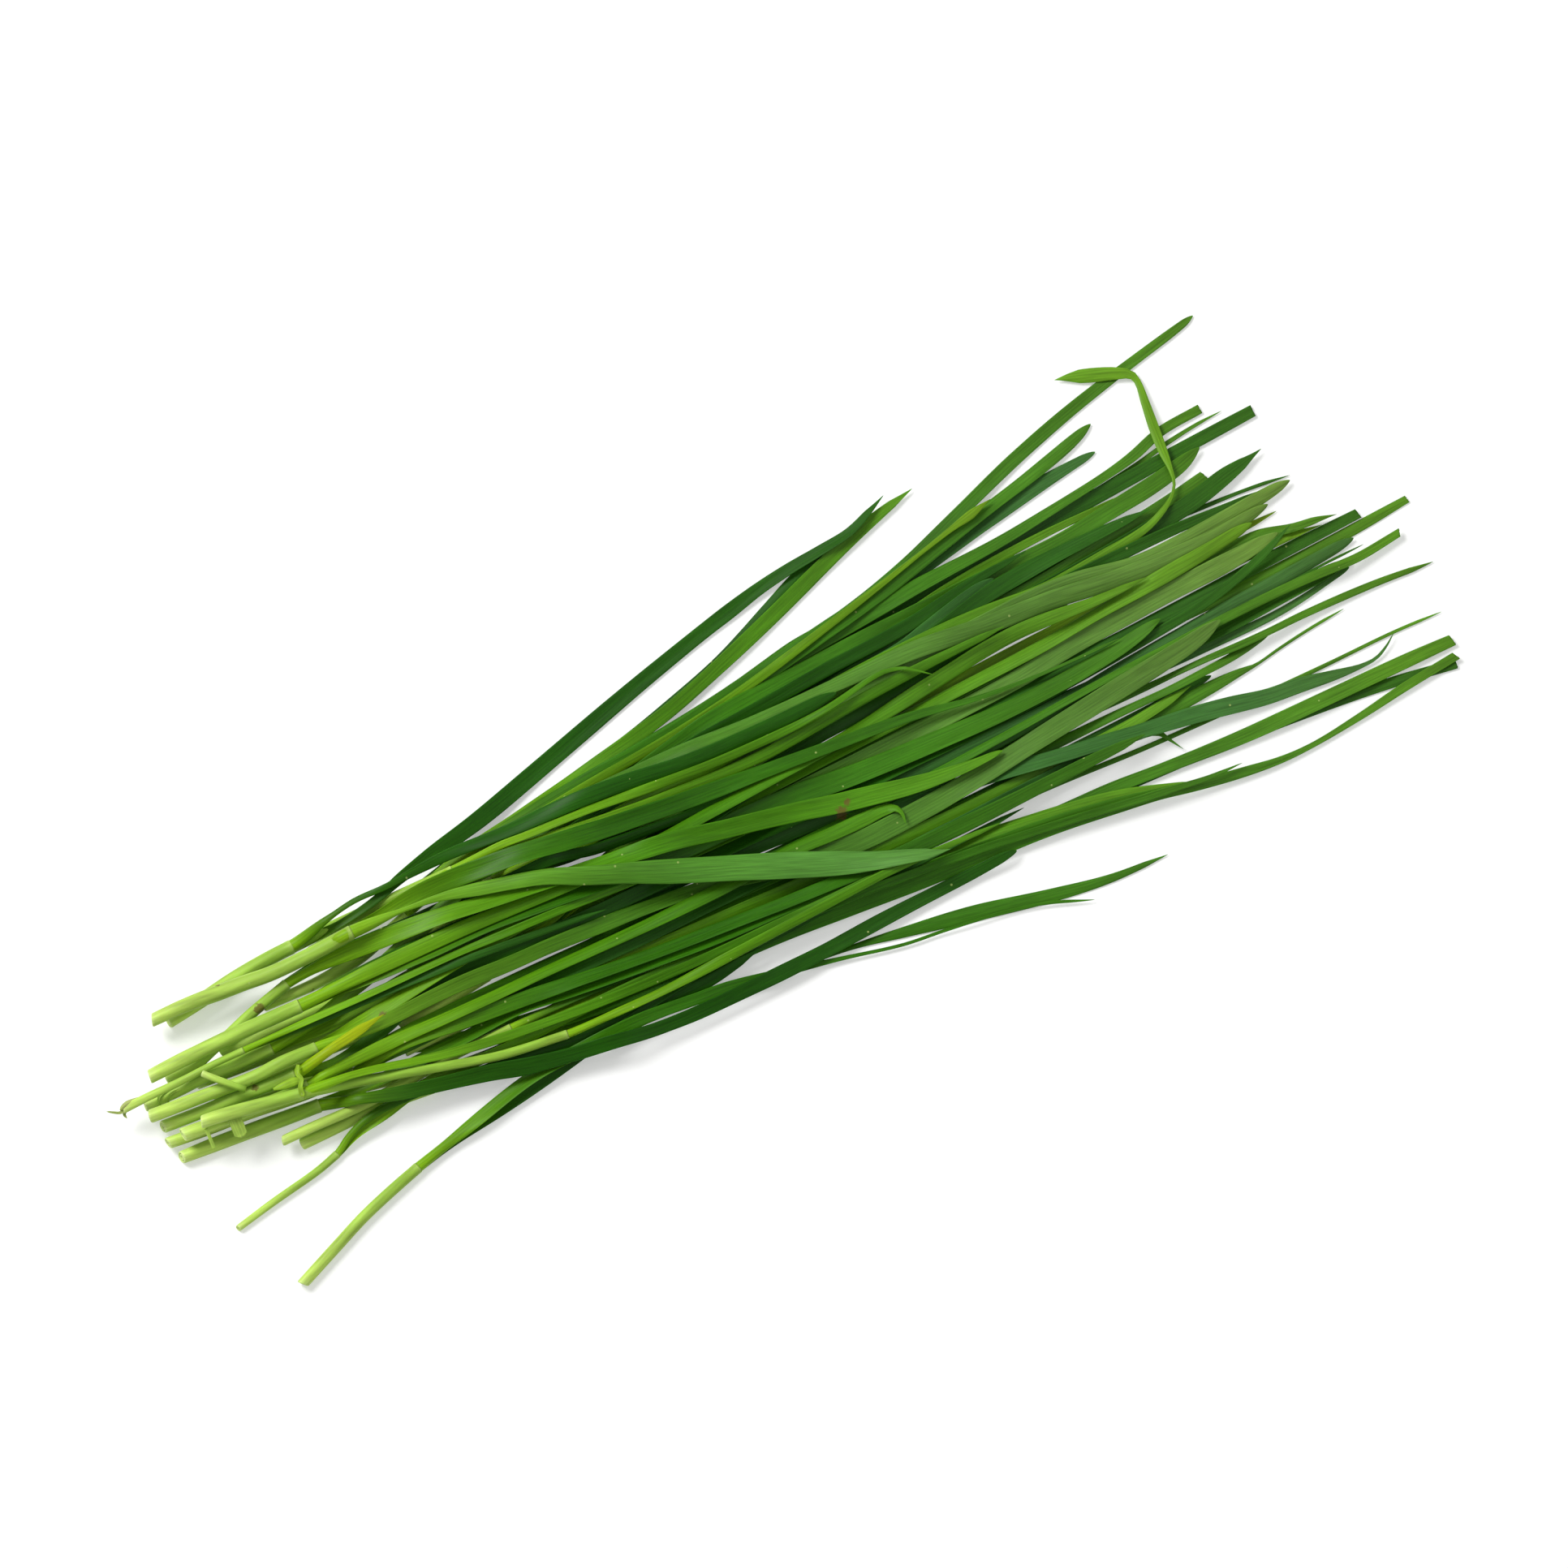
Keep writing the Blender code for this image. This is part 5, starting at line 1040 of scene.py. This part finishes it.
def stand_for(shoot, torn=()):
    """Sews the shoot's stem, leaves and torn strips into one piece that stands for its solid."""
    scraps = [scrap_surface(shoot, *scrap) for scrap in torn]
    piece = sewn(f"fine_{shoot['name']}", shoot["surfaces"] + scraps)
    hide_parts(shoot["name"])
    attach(piece, "root")


def lay_shoot(row, slim=False, later=()):
    """Lays a shoot: its stem, and then each leaf in turn, but for those that are laid later."""
    shoot = lay_stem(*row, slim)
    for number in range(len(shoot["leaves"])):
        if number not in later:
            lay_leaf(shoot, number)
    shoot["after"] = widened()
    return shoot


for row in BURIED:
    stand_for(lay_shoot(row, slim=True))

# The shoots along the lower edge: two with long thin leaves beside the pile, and two that lie apart from it,
# one with a hair-thin leaf end. They lie on the table top for most of their length.
EDGE_SHOOTS = [
    ("shoot_12", [(-165.5, -28, 3.4), (-155, -28.3, 3.4), (-142, -28.8, 3.3), (-126, -31, 2.9)], [
        ("taper", 3, "dark_and_shade", [(-100, -35, 2.6), (-60, -37.5, 2.8), (-28, -37, 2.5), (0, -36.8, 2.2),
            (40, -37.3, 2), (55.5, -37.2, 1)]),
        ("taper", 3, "mid", [(-105, -36, 2), (-60, -44.5, 1.4), (-8, -49.5, 1.2), (10, -53, 3),
            (30, -57.5, 4.4), (50, -62.7, 3.6), (67, -66.2, 2.4), (84.5, -67.7, 0.9)])]),
    ("shoot_13", [(-169.5, -24.7, 2.9), (-150, -25.8, 2.9), (-135, -26, 3), (-117, -25.3, 2.9),
        (-99, -26, 2.7)], [
        ("taper", 4, "mid", [(-80, -28, 2.4), (-30, -34, 2.4), (40, -42, 2.2), (90, -51, 2),
            (105, -53.6, 1.2), (115, -54.3, 0.8)]),
        ("round", 4, "teal", [(-80, -26.5, 2.8), (-60, -28, 2.8), (-30, -31, 3), (10, -32.6, 3.4),
            (30, -33, 3.8), (60, -33, 4), (85, -33, 3.4)])]),
    ("shoot_14", [(-192, -40.8, 1.9), (-180, -38.8, 2.1), (-165, -36.7, 2.2), (-158, -35, 2.3)], [
        ("taper", 3, "light", [(-150, -32.4, 3.2), (-141, -31, 3.4), (-130, -29.3, 3.2),
            (-100, -30.5, 2.8), (-60, -31, 2.6), (-20, -34, 2), (10, -36, 1.2)]),
        ("taper", 3, "dark_and_shade", [(-153, -32.2, 2.2), (-147, -30.2, 2.2), (-140, -29.5, 2.4),
            (-130, -30, 2.6), (-120, -31.6, 2.6), (-100, -34.8, 2.8), (-80, -38, 3.2), (-60, -39.6, 3.6),
            (-45, -39.8, 3.4), (-35, -39, 2.4), (-27.5, -38.2, 1.1)])]),
    ("shoot_15", [(-183.5, -63, 3.2), (-170, -57.9, 3.2), (-160, -54.2, 3.2), (-150, -51.3, 3.2),
        (-140, -48.8, 3.1)], [
        ("taper", 4, "dark_and_shade", [(-125, -46.5, 3), (-110, -45, 3), (-90, -42.5, 2.6), (-60, -38, 2),
            (-30, -36, 1.4)]),
        ("taper", 4, "mid", [(-120, -44.8, 4), (-100, -41, 4), (-70, -40.4, 3.6), (-60, -41.2, 3.3),
            (-51, -42.5, 3.2), (-41, -43.8, 3), (-26, -47.2, 2.3), (-10, -51.2, 1.2), (8, -56, 0.9),
            (20, -57.8, 0.9), (45, -63, 0.9), (60.5, -69.5, 0.8)])]),
]
for row in EDGE_SHOOTS:
    stand_for(lay_shoot(row))

# The lower shoots of the pile, whose cut ends show at the left. Their collars are pale rims of split sheath.
# The second leaf of the last two rises over shoots that are laid after them.
LOWER_SHOOTS = [
    ("shoot_16", [(-196.5, -15.7, 3.6), (-187, -16.7, 4.1), (-175, -18.1, 4.3),
        (-165, -19.4, 4.2), (-156, -20.5, 3.9)], [
        ("taper", 4, "mid", [(-140, -21.8, 3.6), (-125, -22.3, 4), (-110, -22.4, 4), (-95, -22.2, 4),
            (-80, -24.8, 3.4), (-60, -27.8, 3), (-30, -31.2, 3), (20, -33, 3), (60, -33.6, 2.6),
            (90, -34, 1.6), (98.5, -36, 1.4), (100.3, -39, 1.1), (102.5, -43.2, 0.8)]),
        ("round", 4, "dark_and_shade", [(-147, -23.7, 3.3), (-139, -26.5, 3.7), (-130, -29.2, 3.9),
            (-110, -34.4, 4.4), (-100, -37.6, 4.6), (-90, -39.9, 3.9), (-80, -41.9, 3.8),
            (-70, -43.9, 3.7), (-60, -45.5, 3.6), (-50, -46.4, 3.8), (-20, -47.3, 4), (10, -47, 3.8),
            (48, -47, 2.6)])]),
    ("shoot_17", [(-198, -10.6, 3.3), (-187, -12.1, 3.5), (-173, -13.7, 3.5), (-158, -15.7, 3.5),
        (-143, -17, 3.4)], [
        ("taper", 4, "dark_and_shade", [(-120, -14, 2.4), (-60, -17, 2.4), (0, -19, 2), (60, -18, 1.8),
            (120, -16.5, 1.4), (155, -15, 0.9), (174.5, -15, 0.8)]),
        ("taper", 4, "teal", [(-125, -17, 3.4), (-60, -20, 4), (0, -21, 4.4), (27, -21.3, 4.6),
            (50, -24.4, 4.6), (70, -28.6, 4.6), (90, -32.4, 4.6), (110, -36.1, 5), (120, -38.4, 4.9),
            (130, -40.9, 4.2), (140, -42.3, 4), (150, -44.3, 2.7), (157, -45.4, 1.3), (162, -45.4, 0.9),
            (166, -43.8, 0.8), (170, -41.2, 0.8)]),
        ("taper", 4, "mid", [(-125, -16, 4), (-110, -18, 4), (-90, -20.6, 4), (-70, -23.6, 4),
            (-50, -26.3, 4), (-30, -28.5, 4), (-10, -30.6, 4), (10, -32.3, 4), (40, -33.7, 4.1),
            (60, -34, 3.6), (80, -34.2, 3), (95, -34.5, 1.8)])]),
    ("shoot_18", [(-190, 4.9, 3.4), (-180, 5.8, 3.4), (-170, 8.6, 3.2), (-160, 11.5, 3.2),
        (-148, 14.2, 3.1)], [
        ("taper", 4, "dark_and_shade", [(-134, 15.7, 3), (-110, 14.3, 3), (-60, 9, 3), (-30, 5, 2.4), (0, 3, 1.4)]),
        ("round", 4, "light", [(-134, 14.4, 4.2), (-110, 12.2, 5), (-90, 9.3, 5), (-70, 6, 5),
            (-50, 2.8, 5), (-30, -1, 5), (-20, -3.8, 5), (-10, -6.3, 5), (0, -8.9, 5.2), (10, -11.8, 5.2),
            (20, -14.3, 5.2), (30, -16.8, 4.8), (40, -18.6, 3.8), (50, -19.7, 2.6), (58, -20, 1.6)])]),
    ("shoot_19", [(-193, -10.2, 4), (-180, -11.9, 3.8), (-168, -13.2, 3.6), (-156, -14.2, 3.4)], [
        ("cut", 3, "mid", [(-140, -13.5, 2.6), (-100, -13.5, 2.8), (-40, -16, 2.8), (40, -17, 2.6),
            (100, -15.5, 2.5), (150, -16, 2.5), (170, -17.5, 2.5), (185, -16.7, 2.2)]),
        ("taper", 3, "light", [(-142, -13.6, 3.4), (-128, -14, 3.6), (-110, -15, 3.5), (-80, -16.3, 3.5),
            (-40, -18, 3.8), (-5, -18, 4), (5, -18.8, 4), (15, -19.3, 3.9), (20, -19.4, 3.4),
            (23.6, -20.3, 2.6), (24.9, -22.4, 1.8), (24.5, -25.8, 1.4)])]),
]
for row in LOWER_SHOOTS[:2]:
    stand_for(lay_shoot(row))
rising = [lay_shoot(row, later=(1,)) for row in LOWER_SHOOTS[2:]]

# The shoots in the middle of the pile: one with a withered end, one with a second collar far along its stem,
# and torn strips of sheath at cut ends and collars, thin and curled. The curled leaf from the lowest layer
# and the yellowed one of the second shoot come to lie on the first three.
MIDDLE_SHOOTS = [
    ("shoot_20", [(-198.6, 1.6, 2.9), (-184, 1.4, 3.4), (-171, 0.6, 3.9), (-160, 0.1, 3.9)], [
        ("round", 3, "painted_sheen", [(-148, -1, 5), (-110, -0.5, 5), (-70, -1.5, 5), (-30, -3, 5), (20, -4, 5),
            (70, -4, 5), (90, -2.5, 5), (120, -1.8, 5), (140, -1.7, 4.8), (155, -0.9, 2.8)]),
        ("round", 3, "painted_sheen", [(-145, 1.5, 3.4), (-110, 10, 4), (-80, 18, 4.6), (-50, 22.5, 4.6),
            (-30, 22.2, 4.4), (0, 20, 3.6), (30, 18.1, 4.2), (50, 16.8, 4.8), (70, 13.8, 5),
            (90, 11.6, 5), (110, 8.3, 5), (135, 6.2, 4.6), (156.5, 7.6, 2.4)])]),
    ("shoot_21", [(-197, -5.6, 3.6), (-180, -7.4, 3.7), (-165, -9.3, 3.7), (-158, -10.1, 3.6)], [
        ("taper", 3, "dark_and_shade", [(-146, -12, 4), (-130, -9.5, 4), (-120, -6.5, 4), (-110, -5, 4),
            (-90, -6, 4), (-70, -7.7, 4), (-30, -9, 4), (20, -11, 4), (70, -12, 3.4), (110, -10.5, 2.6),
            (130, -8.9, 2.4), (148, -4.6, 2.2), (159.3, -0.4, 1)]),
        ("taper", 3, "yellow", [(-150, -9, 2.6), (-143, -8, 3), (-136, -7, 2.6), (-128, -6.1, 1.1)])]),
    ("shoot_22", [(-198.5, -1.3, 3.8), (-184, -2.9, 3.7), (-168, -4.6, 3.6), (-159, -5.4, 3.6),
        (-149, -6, 3.5)], [
        ("round", 4, "light", [(-136, -5, 4), (-100, -2, 4), (-50, 0, 4), (0, 1, 4), (50, 1, 4),
            (80, 1.2, 4), (100, 2.2, 4), (130, 3.5, 4), (150, 5, 2.8)]),
        ("round", 4, "painted_sheen", [(-136, -7.4, 3.4), (-108, -8.5, 4), (-90, -10.5, 4), (-70, -12, 4),
            (-50, -13.8, 4), (-33, -16, 4.4), (-10, -21, 5.2), (10, -24.2, 5.4), (30, -24.4, 5.6),
            (50, -23.4, 5.6), (70, -21.6, 5.6), (90, -19.9, 5.6), (110, -18.3, 5.4), (120, -17.2, 4.6),
            (129, -15.4, 2.6)])]),
    ("shoot_23", [(-204.2, 3.8, 2.4), (-192, 3.6, 2.3), (-178, 3.4, 2), (-167, 3, 2)], [
        ("taper", 3, "teal", [(-155, 1.8, 2), (-135, 0, 2), (-110, -2, 2), (-90, -4.3, 2), (-70, -7, 1.6),
            (-60, -8.5, 1)]),
        ("taper", 3, "light", [(-155, 2.6, 2), (-130, 1, 2.2), (-100, -0.5, 2.2), (-70, -3, 2),
            (-50, -5, 2), (-20, -7, 1.6), (10, -8, 1)])]),
    ("shoot_24", [(-186.5, -9.4, 3.6), (-180, -10.5, 3.8), (-170, -12.7, 3.8),
        (-158.5, -15.4, 3.5), (-140, -20.5, 2.9), (-120, -27, 2.7), (-105, -31.5, 2.6), (-86, -34.8, 2.5)], [
        ("taper", 3, "light", [(-140, -18.2, 2.4), (-115, -24.8, 2.5), (-90, -29, 2.5), (-50, -33, 2.5),
            (-10, -34.5, 2), (20, -35, 1.2)]),
        ("taper", 7, "light", [(-72, -35.8, 2.6), (-60, -36.3, 2.6), (-20, -36, 2.6), (20, -36, 2),
            (48, -38, 1)])]),
]

# Each torn strip: a distance along the stem, how it curls, its colour, and its route as (x, y, height over
# the stem's axis at that distance, width).
PALE_SHEATH = (0.300, 0.440, 0.070)
GREEN_SHEATH = (0.260, 0.430, 0.030)
DRY_SHEATH = (0.300, 0.350, 0.100)
CURLED_RIMS = [
    (6, 1.0, PALE_SHEATH, [(-189.6, 3.0, 1.6, 0.7), (-193.3, 2.6, 1.7, 0.9), (-194.7, 0.9, 1.4, 0.8),
                           (-194.3, -0.6, 0.7, 0.6)]),
    (8, 1.0, PALE_SHEATH, [(-185.5, 1.2, 1.7, 0.6), (-190.4, 1.5, 1.8, 0.9), (-192.2, 0.4, 1.5, 0.8),
                           (-192.1, -0.8, 0.9, 0.6)]),
]
SHEATH_FLAP = [
    (38, -0.5, GREEN_SHEATH, [(-164.8, -10.5, 1.9, 0.8), (-161.6, -10.9, 2.3, 2.4), (-158.6, -11.2, 2.1, 2.7),
                              (-156.4, -11.7, 1.5, 1.0)]),
]
WITHERED_RAGS = [
    (0, 0.6, DRY_SHEATH, [(-203.0, 3.9, 0.2, 1.3), (-205.2, 3.4, 0.5, 0.9), (-206.8, 4.3, 0.9, 0.7),
                          (-208.4, 5.5, 1.3, 0.4)]),
    (0, 0.6, DRY_SHEATH, [(-203.2, 3.6, 0.0, 1.3), (-204.5, 2.5, -0.3, 0.9), (-204.4, 1.1, -0.8, 0.5)]),
    (0, -0.9, DRY_SHEATH, [(-199.0, 4.4, 0.9, 1.6), (-202.4, 4.6, 1.1, 2.2), (-205.0, 4.1, 0.7, 1.2)]),
]
SHEATH_BRIDGES = [
    (1, 0.3, PALE_SHEATH, [(-186.3, -11.6, -0.6, 1.0), (-186.6, -14.6, -1.4, 1.0),
                           (-187.0, -17.9, -2.4, 1.1)]),
    (9, 0.2, PALE_SHEATH, [(-178.0, -12.2, -0.6, 3.6), (-178.3, -15.2, -1.5, 3.8),
                           (-178.7, -18.4, -2.6, 3.8)]),
    (28, 0.8, GREEN_SHEATH, [(-155.5, -7.5, 1.7, 0.8), (-156.9, -9.6, 2.4, 1.3), (-156.5, -11.5, 2.5, 1.1),
                             (-157.9, -13.5, 2.4, 1.3), (-158.5, -16.2, 1.5, 1.8)]),
]
stand_for(lay_shoot(MIDDLE_SHOOTS[0]), CURLED_RIMS)
yellowed = lay_shoot(MIDDLE_SHOOTS[1], later=(1,))
stand_for(lay_shoot(MIDDLE_SHOOTS[2]))
lay_late_leaf(rising[1], 1)
stand_for(rising[1])
lay_late_leaf(yellowed, 1)
stand_for(yellowed, SHEATH_FLAP)
stand_for(lay_shoot(MIDDLE_SHOOTS[3]), WITHERED_RAGS)
stand_for(lay_shoot(MIDDLE_SHOOTS[4]), SHEATH_BRIDGES)

# The three thick shoots on top. The broad light leaf of the last one crosses the whole bunch, and a light
# leaf from the lowest layer lies on the first.
TOP_SHOOTS = [
    ("shoot_25", [(-193.6, 8.4, 3.9), (-180, 8.5, 4.2), (-162, 7.7, 4.2), (-147.5, 6.8, 4)], [
        ("round", 3, "mid", [(-130, 5.8, 5), (-110, 4.6, 6), (-90, 3.4, 6), (-70, 1, 6), (-40, -2.5, 6),
            (0, -4.5, 6), (20, -7, 6), (40, -8.8, 6), (70, -10.7, 5.4), (100, -9.5, 4.6),
            (114.5, -7.3, 2.8)]),
        ("taper", 3, "dark_and_shade", [(-133, 8.2, 2), (-100, 7.2, 2), (-60, 3, 1.8), (-27, -0.5, 1.6),
            (-15, 0.8, 1.4), (0, 2, 0.9)]),
        ("taper", 3, "light", [(-133, 6.9, 3.8), (-100, 5.5, 4), (-50, 2, 4), (-20, 2.5, 4), (20, 3.8, 4),
            (50, 6.2, 4), (75, 7.8, 4), (100, 6, 3), (117, 5, 1.2)])]),
    ("shoot_26", [(-182, 19.9, 3.6), (-172, 21, 4), (-160, 22.4, 4.1), (-150, 22.9, 4.1),
        (-142, 22.9, 4), (-120, 22.3, 3.3), (-104, 21.6, 3), (-92.5, 21, 2.8)], [
        ("taper", 4, "dark_and_shade", [(-130, 22.4, 2.2), (-121, 22.9, 2.2), (-114, 24, 2.3), (-105, 26, 3),
            (-95, 28, 4), (-80, 30.5, 4.8), (-60, 35.1, 4.8), (-40, 39.9, 4.8), (-20, 44.6, 4.4),
            (0, 48.9, 4), (10, 50.8, 4.1), (20, 52.6, 3.6), (30, 53.7, 3.4), (40, 54.3, 3.2),
            (50, 55.2, 2.8), (57, 57.6, 2), (63.3, 60.1, 1.1)]),
        ("round", 4, "dark_and_shade", [(-130, 25, 1.8), (-120, 26.2, 1.7), (-110, 26.4, 1.7), (-100, 26.1, 2.4),
            (-90, 25.7, 3.2), (-80, 24.7, 3.8), (-70, 23.8, 4.2), (-60, 23.2, 4.5), (-40, 21.1, 4.5),
            (-20, 17.8, 4.5), (0, 16.5, 4.2), (25, 16.2, 3)]),
        ("taper", 7, "faded", [(-78, 19.4, 2.6), (-50, 14.5, 3), (-30, 12, 3), (0, 9.9, 3), (30, 11.2, 3),
            (50, 11.5, 2.8), (75, 11, 1.4)]),
        ("taper", 7, "faded", [(-78, 21.4, 2.5), (-70, 20.6, 2.5), (-50, 18.5, 2.5), (-30, 16, 2.5),
            (-10, 14, 2.4), (20, 13.2, 2), (35, 15, 1.4), (43, 14.3, 1), (47, 12, 0.9), (51.3, 8, 0.8)])]),
    ("shoot_27", [(-185.5, 22.5, 3.7), (-177, 22.1, 3.9), (-168, 21.1, 4.3), (-159, 20.1, 4.4),
        (-149, 18.8, 4.2), (-125, 18.8, 4.1)], [
        ("taper", 5, "mid", [(-110, 19.6, 4.8), (-98, 19.6, 5.2), (-80, 17.2, 5.4), (-60, 14, 5.4),
            (-40, 10.8, 5), (-20, 7.8, 4.6), (0, 5.3, 4), (20, 3, 3.2), (40, 0.5, 2.5), (60, -3.7, 1.4),
            (80, -6, 1), (102, -7, 0.9)]),
        ("taper", 5, "band_sheen", [(-110, 17.7, 1.4), (-100, 16.3, 2), (-90, 13.7, 3.4), (-80, 10.8, 3.9),
            (-70, 7.4, 4.3), (-60, 2.7, 5), (-50, -2.2, 5.6), (-40, -7, 6.4), (-30, -11.6, 6.8),
            (-20, -16.2, 6.9), (-10, -21, 7.1), (0, -25.8, 6.7), (10, -30.3, 5.8), (20, -34.1, 4.6),
            (27, -36.7, 3), (32, -38, 1)])]),
]
stand_for(lay_shoot(TOP_SHOOTS[0]))
lay_late_leaf(rising[0], 1)
stand_for(rising[0])
for row in TOP_SHOOTS[1:]:
    stand_for(lay_shoot(row))

# A short pale stalk, cut at both ends, that lies loose across the stems. It is a bare bit of pseudostem, and
# it is laid last, on all the others.
stand_for(lay_shoot(("loose_stalk", [(-180, 2.7, 1.9), (-176, -2, 2), (-171.5, -7, 1.9)], [])))
